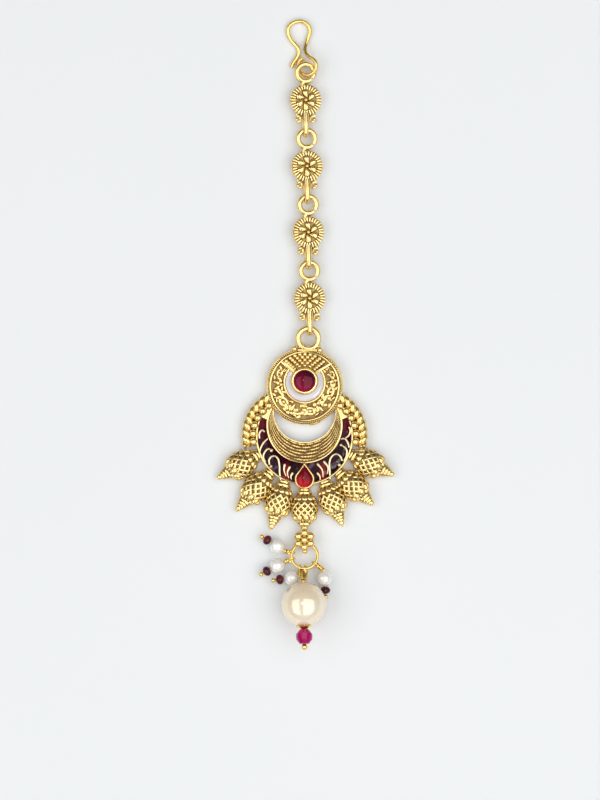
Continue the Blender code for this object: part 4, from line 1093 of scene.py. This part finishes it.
class Finish:
    """A material made of a shader and the nodes that feed it."""

    def __init__(self, name, **constants):
        self.material = bpy.data.materials.new(name)
        self.material.use_nodes = True
        self.tree = self.material.node_tree
        self.shader = self.tree.nodes["Principled BSDF"]
        for socket, value in constants.items():
            self.shader.inputs[socket.replace("_", " ")].default_value = value

    def add(self, kind, settings=None, inputs=None, output=0):
        """Any node: its type, its settings, then the values or links of its sockets."""
        node = self.tree.nodes.new(kind)
        for name, value in (settings or {}).items():
            setattr(node, name, value)
        for name, value in (inputs or {}).items():
            if isinstance(value, Level):
                self.tree.links.new(value.socket, node.inputs[name])
            else:
                node.inputs[name].default_value = value
        return Level(self, node.outputs[output])

    def feed(self, **levels):
        """Links what changes over the surface to the shader's sockets."""
        for socket, level in levels.items():
            self.tree.links.new(level.socket, self.shader.inputs[socket.replace("_", " ")])
        return self

    def places(self):
        """Where the surface is in the jewel's own frame."""
        return self.add("ShaderNodeTexCoord", output=3)

    def place(self, axis):
        """How far along one axis the surface is."""
        return self.add("ShaderNodeSeparateXYZ", inputs={0: self.places()}, output=axis)

    def size(self, level):
        """A value without its sign."""
        return self.add("ShaderNodeMath", {"operation": "ABSOLUTE"}, {0: level})

    def recess(self):
        """How shut in the surface is, as marked on the mesh."""
        return self.add("ShaderNodeAttribute", {"attribute_name": "recess"}, output=2)

    def noise(self, scale, detail=3.0, roughness=0.5):
        """Soft clouds, their grain finer with the scale."""
        inputs = {"Vector": self.places(), "Scale": scale, "Detail": detail, "Roughness": roughness}
        return self.add("ShaderNodeTexNoise", inputs=inputs)

    def span(self, level, low, high):
        """A value's stretch from low to high as nought to one."""
        inputs = {"Value": level, "From Min": low, "From Max": high}
        return self.add("ShaderNodeMapRange", {"clamp": True}, inputs)

    def blend(self, share, first, second):
        """A mix of two colours."""
        return self.add("ShaderNodeMix", {"data_type": "RGBA"}, {0: share, 6: first, 7: second}, output=2)

    def bump(self, height, strength, distance):
        """A surface raised a little where the height is high."""
        inputs = {"Height": height, "Strength": strength, "Distance": distance}
        return self.add("ShaderNodeBump", inputs=inputs)


def colour(red, green, blue):
    """An opaque colour."""
    return (red, green, blue, 1.0)


def antique_gold():
    """Matte cast gold, bright on what stands out and brown in the recesses: patina left there, and painted
    shade where the surface is shut in.
    """
    gold = Finish("antique_gold", Metallic=1.0, Roughness=0.3)
    worn = gold.noise(700.0, 3.0, 0.55)
    # the recess mask holds the patina marked on the grounds and how shut in each spot is; darkening by the
    # latter is painted shade
    patina_and_shade = gold.span(gold.recess() + (worn - 0.5) * 0.20, 0.26, 0.82)
    warm = gold.blend(gold.noise(260.0, 2.0), colour(0.95, 0.68, 0.25), colour(1.0, 0.79, 0.38))
    # dark brown of the patina and of the painted shade in the recesses
    tone = gold.blend(patina_and_shade, warm, colour(0.15, 0.072, 0.013))
    rough = gold.span(worn, 0.25, 0.75) * 0.08 + patina_and_shade * 0.30 + 0.18
    metal = 1.0 - patina_and_shade * 0.30
    cast = gold.bump(gold.noise(2200.0, 2.0), 0.12, 0.06 * MM)
    return gold.feed(Base_Color=tone, Roughness=rough, Metallic=metal, Normal=cast).material


def gold_wire():
    """Plated wire, yellower and smoother than the castings, with faint drawing marks, and painted shade where
    it is shut in.
    """
    gold = Finish("gold_wire", Metallic=1.0, Roughness=0.2)
    tone = gold.blend(gold.noise(420.0, 2.0), colour(0.93, 0.64, 0.17), colour(1.0, 0.75, 0.27))
    # painted shade: darker brown where the wire is shut in, as between the coils and where it wraps the ring
    tone = gold.blend(gold.span(gold.recess(), 0.45, 0.95), tone, colour(0.36, 0.20, 0.05))
    rough = gold.noise(1500.0) * 0.16 + 0.14
    marks = gold.bump(gold.noise(1800.0, 2.0), 0.15, 0.06 * MM)
    return gold.feed(Base_Color=tone, Roughness=rough, Normal=marks).material


def cream_gold():
    """Pale rubbed gold of the enamel's lines."""
    gold = Finish("cream_gold", Metallic=1.0, Roughness=0.3)
    tone = gold.blend(gold.noise(700.0), colour(0.97, 0.76, 0.44), colour(1.0, 0.87, 0.60))
    rough = gold.noise(1600.0) * 0.2 + 0.25
    return gold.feed(Base_Color=tone, Roughness=rough).material


def ruby_stone(name, deep, bright, low, high):
    """Foiled glass cabochon: deep red that lightens from a high line to a low one, at its lower left, a
    painted glow of light coming back through the stone.
    """
    stone = Finish(name, Roughness=0.12, IOR=1.30)
    # painted glow: the stone lighter towards its lower left, standing in for light returned through it off
    # the foil
    painted_glow = stone.span(stone.place(1) + stone.place(0) * 0.45, high * MM, low * MM)
    cloud = stone.noise(500.0, 2.0) * 0.35
    tone = stone.blend(stone.span(painted_glow + cloud, 0.25, 1.15), deep, bright)
    return stone.feed(Base_Color=tone).material


def glass_bead(name, deep, bright):
    """Glossy dark bead with a little cloud in the glass."""
    glass = Finish(name, Roughness=0.08, IOR=1.42)
    tone = glass.blend(glass.span(glass.noise(700.0, 2.0), 0.35, 0.7), deep, bright)
    return glass.feed(Base_Color=tone).material


def white_enamel():
    """Glossy white enamel, a little pearly."""
    enamel = Finish("white_enamel", Roughness=0.15, Coat_Weight=0.6, Coat_Roughness=0.05)
    tone = enamel.blend(enamel.noise(420.0, 2.0), colour(0.60, 0.57, 0.62), colour(0.72, 0.70, 0.74))
    return enamel.feed(Base_Color=tone, Normal=enamel.bump(enamel.noise(500.0), 0.2, 0.1 * MM)).material


def dark_enamel():
    """Near-black plum enamel, maroon towards the horns and red beside the flames, with patches of painted
    lilac-grey reflection.
    """
    enamel = Finish("dark_enamel", Roughness=0.08, IOR=1.20)
    up = enamel.place(1)
    horns = enamel.span(up, (HEAD.y - 13.0) * MM, (HEAD.y - 8.0) * MM)
    off = enamel.size(enamel.size(enamel.place(0)) - FLAMES_OUT * MM)
    flame = enamel.span(off, 0.95 * MM, 0.25 * MM)
    flame = flame * enamel.span(up, (HEAD.y - 15.6) * MM, (HEAD.y - 17.4) * MM) * 0.8
    cloud = enamel.span(enamel.noise(380.0, 3.0), 0.35, 0.7)
    tone = enamel.blend(cloud, colour(0.012, 0.001, 0.004), colour(0.036, 0.004, 0.012))
    # painted reflection: lilac-grey patches where the glossy enamel would mirror the room
    painted_sheen = enamel.span(enamel.noise(560.0, 1.0), 0.60, 0.72)
    tone = enamel.blend(painted_sheen, tone, colour(0.11, 0.07, 0.12))
    tone = enamel.blend(horns, tone, colour(0.085, 0.003, 0.012))
    tone = enamel.blend(flame, tone, colour(0.30, 0.012, 0.012))
    ripple = enamel.bump(enamel.noise(650.0, 2.0), 0.4, 0.2 * MM)
    return enamel.feed(Base_Color=tone, Normal=ripple).material


def pearl(name, warm, pale, roughness):
    """Imitation pearl: soft lustre under a thin clear skin."""
    coat = {"Coat_Weight": 0.8, "Coat_Roughness": 0.06, "Coat_IOR": 1.8}
    skin = Finish(name, Roughness=roughness, Metallic=0.14, **coat)
    tone = skin.blend(skin.span(skin.noise(160.0, 2.0), 0.3, 0.7), warm, pale)
    return skin.feed(Base_Color=tone, Normal=skin.bump(skin.noise(900.0, 2.0), 0.05, 0.1 * MM)).material


def table_top():
    """Pale cool surface with a very soft unevenness."""
    top = Finish("pale_table", Roughness=0.55)
    tone = top.blend(top.noise(9.0, 2.0), colour(0.80, 0.83, 0.855), colour(0.82, 0.845, 0.865))
    return top.feed(Base_Color=tone).material


# Recesses


def mark_recesses(pieces, depth=0.50 * MM, rays=14):
    """Stores on each piece how shut in its surface is within a short depth, or how much patina it holds; the
    gold finishes darken by it as painted shade and patina.
    """
    points = []
    faces = []
    for piece in pieces:
        count = len(points)
        points += [vertex.co for vertex in piece.data.vertices]
        faces += [[i + count for i in polygon.vertices] for polygon in piece.data.polygons]
    tree = BVHTree.FromPolygons(points, faces)
    golden = math.pi * (3 - math.sqrt(5))
    spread = []
    for number in range(rays):
        rise = 0.15 + 0.85 * (number + 0.5) / rays
        flat = math.sqrt(1 - rise**2)
        spread.append(Vector((flat * math.cos(golden * number), flat * math.sin(golden * number), rise)))
    for piece in pieces:
        shut = np.zeros(len(piece.data.vertices), dtype=np.float32)
        for vertex in piece.data.vertices:
            normal = vertex.normal
            turn = normal.to_track_quat("Z", "Y")
            origin = vertex.co + normal * (0.02 * MM)
            # share of rays that meet the metal nearby: how shut in the spot is, used as painted shade
            hits = sum(tree.ray_cast(origin, turn @ way, depth)[0] is not None for way in spread)
            shut[vertex.index] = hits / rays
        stain = piece.data.attributes.get("patina")
        if stain:
            held = np.zeros(len(shut), dtype=np.float32)
            stain.data.foreach_get("value", held)
            shut = np.maximum(shut, held)
            piece.data.attributes.remove(stain)
        layer = piece.data.attributes.new("recess", "FLOAT", "POINT")
        layer.data.foreach_set("value", shut)


# Putting together


def table_and_light():
    """Pale table, soft lights and the camera straight above."""
    start()
    bpy.ops.mesh.primitive_plane_add(size=TABLE_SIZE, location=(0, 0, -TABLE_GAP))
    table = bpy.context.object
    table.name = "pale_table"
    table.data.materials.append(table_top())
    for name, spot, size, power, tint in LIGHTS:
        bpy.ops.object.light_add(type="AREA", location=spot)
        lamp = bpy.context.object
        lamp.name = name
        lamp.data.shape = "RECTANGLE"
        lamp.data.size, lamp.data.size_y = size
        lamp.data.energy = power
        lamp.data.color = tint
    world = bpy.data.worlds.new("soft_room")
    world.use_nodes = True
    background = world.node_tree.nodes["Background"]
    background.inputs["Color"].default_value = ROOM_TINT
    background.inputs["Strength"].default_value = ROOM_LIGHT
    bpy.context.scene.world = world
    bpy.ops.object.camera_add(location=(VIEW_CENTRE[0] * MM, VIEW_CENTRE[1] * MM, CAMERA_HEIGHT))
    camera = bpy.context.object
    camera.data.sensor_fit = "VERTICAL"
    camera.data.angle = 2 * math.atan(VIEW_SPAN * MM / 2 / CAMERA_HEIGHT)
    camera.data.clip_start = 0.01
    bpy.context.scene.camera = camera
    bpy.context.scene.view_settings.view_transform = "Standard"


def castings(gold):
    """The pendant's cast pieces and the four links."""
    pieces = []
    for name, parts in (
        ("head_disc", head_disc()),
        ("stone_bezel", [bezel()]),
        ("granule_wedge", wedge()),
        ("vine_filigree", filigree()),
        ("top_ring", head_eye()),
        ("crescent", crescent()),
        ("enamel_tray", enamel_tray()),
        ("rope_band_left", side_band(-1)),
        ("rope_band_right", side_band(1)),
        ("granule_rosette", rosette()),
    ):
        pieces.append(seated(name, parts, "pendant_frame", gold))
    for name, shape in spears():
        pieces.append(seated(name, [shape], "pendant_frame", gold))
    for name, shape in links():
        pieces.append(seated(name, [shape], name, gold))
    pieces.append(seated("teardrop_setting", [tear_setting()], "pendant_frame", gold))
    return pieces


def wires(gold):
    """The hook, the drop ring and the five drops on it; returns what is plated like wire."""
    pieces = [seated("wire_hook", hook(), "hook", gold)]
    route = [ring_point(FULL * step / 24)[0] for step in range(24)]
    round_wire = wire(route, DROP_RING_WIRE, 10, closed=True, steps=2)
    pieces.append(seated("wire_drop_ring", [round_wire], "drop_ring", gold))
    return pieces + small_drops(gold) + large_drop(gold)


def small_drops(gold):
    """Pearl, seed bead and pin of the four little drops; returns the pins."""
    bore = PIN_WIRE / 2 + PIN_CLEARANCE
    half = math.sqrt(SMALL_PEARL**2 - bore**2)
    pearl_at = PIN_CLEARANCE * 2 + SMALL_PEARL
    seed_at = pearl_at + half + PIN_CLEARANCE + SEED_HALF
    gauges = (PIN_WIRE, PIN_LOOP, WRAP_RADIUS, PIN_BALL)
    white = pearl("white_pearl", colour(0.92, 0.90, 0.85), colour(0.95, 0.94, 0.92), 0.20)
    maroon = glass_bead("maroon_glass", colour(0.035, 0.001, 0.004), colour(0.15, 0.004, 0.012))
    pins = []
    for number, row in enumerate(DROP_ROWS, 1):
        entry, way = stem_start(row, 0.0, SMALL_PEARL)
        round_pearl = strung(bead(SMALL_PEARL, half, bore), entry + way * pearl_at, way)
        seated(f"white_pearl_{number}", [round_pearl], f"small_pearl_{number}", white, 60)
        seed = strung(bead(SEED_BEAD, SEED_HALF, bore, 24, 12), entry + way * seed_at, way)
        seated(f"maroon_seed_{number}", [seed], f"seed_bead_{number}", maroon, 60)
        parts = pin(row, 0.0, SMALL_PEARL, gauges, seed_at + SEED_HALF + PIN_CLEARANCE)
        pins.append(seated(f"coiled_pin_{number}", parts, f"small_pin_{number}", gold))
    return pins


def large_drop(gold):
    """The large pearl, its cap, faceted bead and pin; returns the pin and the cap."""
    bore = LARGE_PIN_WIRE / 2 + PIN_CLEARANCE
    half = math.sqrt(LARGE_PEARL**2 - bore**2)
    pearl_at = PIN_CLEARANCE * 2 + LARGE_PEARL
    entry, way = stem_start(LARGE_ROW, LARGE_TILT, LARGE_PEARL)
    champagne = pearl("champagne_pearl", colour(0.93, 0.78, 0.56), colour(0.97, 0.88, 0.72), 0.18)
    round_pearl = strung(bead(LARGE_PEARL, half, bore, 64, 40), entry + way * pearl_at, way)
    seated("champagne_pearl", [round_pearl], "large_pearl", champagne, 60)
    cap = strung(bead_cap(bore), entry + way * pearl_at, way)
    cap = seated("fluted_cap", [cap], "pearl_cap", gold)
    crown = math.sqrt((LARGE_PEARL + PIN_CLEARANCE) ** 2 - bore**2)
    facet_at = pearl_at + crown + CAP_RISE + PIN_CLEARANCE + FACET_HALF
    magenta = glass_bead("pink_glass", colour(0.30, 0.001, 0.07), colour(0.56, 0.006, 0.16))
    facets = strung(faceted_bead(bore), entry + way * facet_at, way)
    seated("magenta_bead", [facets], "faceted_bead", magenta, 5)
    gauges = (LARGE_PIN_WIRE, LARGE_PIN_LOOP, LARGE_WRAP_RADIUS, LARGE_PIN_BALL)
    parts = pin(LARGE_ROW, LARGE_TILT, LARGE_PEARL, gauges, facet_at + FACET_HALF + PIN_CLEARANCE)
    return [seated("coiled_pin_large", parts, "large_pin", gold), cap]


def bead_cap(bore):
    """A fluted cap that hugs the large pearl's lower end, round the pearl's middle."""
    shell = LARGE_PEARL + PIN_CLEARANCE
    crown = math.sqrt(shell**2 - bore**2)
    rows = [(radius, math.sqrt(shell**2 - radius**2)) for radius in (bore, 0.6, 1.1, 1.45)]
    rows += [(1.62, math.sqrt(shell**2 - 1.55**2)), (1.5, crown - 0.05), (1.15, crown + 0.16)]
    rows += [(0.7, crown + 0.34), (bore, crown + CAP_RISE)]
    piece = ring(rows, 32)
    for vertex in piece.data.vertices:
        angle = math.atan2(vertex.co.y, vertex.co.x)
        if vertex.co.xy.length > 0.9:
            flute = 1 + 0.05 * math.cos(8 * angle)
            vertex.co.x *= flute
            vertex.co.y *= flute
    return piece


def faceted_bead(bore):
    """A drilled glass bead with flat facets in three belts."""
    belts = [(bore, -1.42), (0.95, -FACET_HALF), (1.66, -0.62), (1.72, 0.0)]
    belts += [(1.66, 0.62), (0.95, FACET_HALF), (bore, 1.42)]
    return ring(belts, 10)


def ruby_cabochon():
    """The round red stone in the bezel."""
    dome = [(STONE_RADIUS * 0.9, 1.25), (STONE_RADIUS, 1.4), (STONE_RADIUS, STONE_GIRDLE)]
    for angle in arc_angles(0.12, 1.5, 14):
        dome.append((STONE_RADIUS * math.cos(angle), STONE_GIRDLE + STONE_DOME * math.sin(angle)))
    stone = moved(turned(dome, 48), to((0, BEZEL_RISE, 0)))
    middle = HEAD.y + BEZEL_RISE
    # bright is the colour of the painted glow at the stone's lower left
    deep, bright = colour(0.075, 0.001, 0.012), colour(0.30, 0.006, 0.045)
    glass = ruby_stone("ruby_stone", deep, bright, middle - 2.6, middle + 2.2)
    seated("ruby_cabochon", [stone], "round_cabochon", glass, 60)


def red_teardrop():
    """The drop-shaped red stone at the frame's foot."""
    rings = [tear_outline(TEAR_RADIUS * 0.96, 1.0), tear_outline(TEAR_RADIUS, 1.15)]
    rings.append(tear_outline(TEAR_RADIUS, TEAR_GIRDLE))
    for angle in arc_angles(0.15, 1.45, 10):
        rings.append(tear_outline(TEAR_RADIUS * math.cos(angle), TEAR_GIRDLE + TEAR_DOME * math.sin(angle)))
    middle = HEAD.y - TEAR_DROP
    # bright is the colour of the painted glow at the stone's lower left
    deep, bright = colour(0.16, 0.001, 0.008), colour(0.72, 0.012, 0.018)
    glass = ruby_stone("teardrop_glass", deep, bright, middle - 2.2, middle + 0.9)
    seated("red_teardrop", [skinned(rings)], "teardrop_cabochon", glass, 60)


def enamel_ring(origin, angle, inner, outer, foot, top, dish):
    """One section of an enamel fill: its foot's two corners, then its dished face."""
    corners = [polar(origin, outer, angle, foot), polar(origin, inner, angle, foot)]
    return corners + [polar(origin, inner + (outer - inner) * share, angle, top - dip) for share, dip in dish]


def white_moon():
    """White enamel between the bezel and the collet, open under the granules."""
    origin = (0, BEZEL_RISE)
    inner = BEZEL_RADIUS + 0.08
    first = math.pi / 2 + WEDGE_HALF_ANGLE + 0.10
    rings = []
    for angle in arc_angles(first, first + FULL - 2 * (WEDGE_HALF_ANGLE + 0.10), 60):
        outer = reach(origin, angle, (0, COLLET_RISE), COLLET_BORE - 0.05)
        rings.append(enamel_ring(origin, angle, inner, outer, WHITE_FOOT, WHITE_TOP, WHITE_DISH))
    seated("white_moon", [skinned(rings)], "white_enamel", white_enamel(), 60)


def plum_enamels():
    """Dark enamel in the frame, left and right of the teardrop's setting."""
    origin = (0, -FRAME_DROP)
    outer = FRAME_RADIUS - FRAME_WALL - 0.02
    dark = dark_enamel()
    for side, word in ((-1, "left"), (1, "right")):
        rings = []
        for angle in arc_angles(ENAMEL_END, -math.pi / 2, 60):
            inner = reach(origin, angle, (0, -CRESCENT_DROP), CRESCENT_RADIUS) - 0.05
            turn = mirrored(angle, side)
            rings.append(enamel_ring(origin, turn, inner, outer, ENAMEL_FOOT, ENAMEL_TOP, ENAMEL_DISH))
        seated(f"plum_enamel_{word}", [skinned(rings)], f"dark_enamel_{word}", dark, 60)


def dress():
    """Builds every piece in its finish and marks on the metal where it is shut in and where the patina stays,
    which its finishes darken as painted shade and patina.
    """
    metal = castings(antique_gold())
    canes_piece = seated("enamel_canes", canes(), "pendant_frame", cream_gold())
    metal += wires(gold_wire())
    mark_recesses(metal + [canes_piece])
    ruby_cabochon()
    red_teardrop()
    white_moon()
    plum_enamels()


table_and_light()
dress()
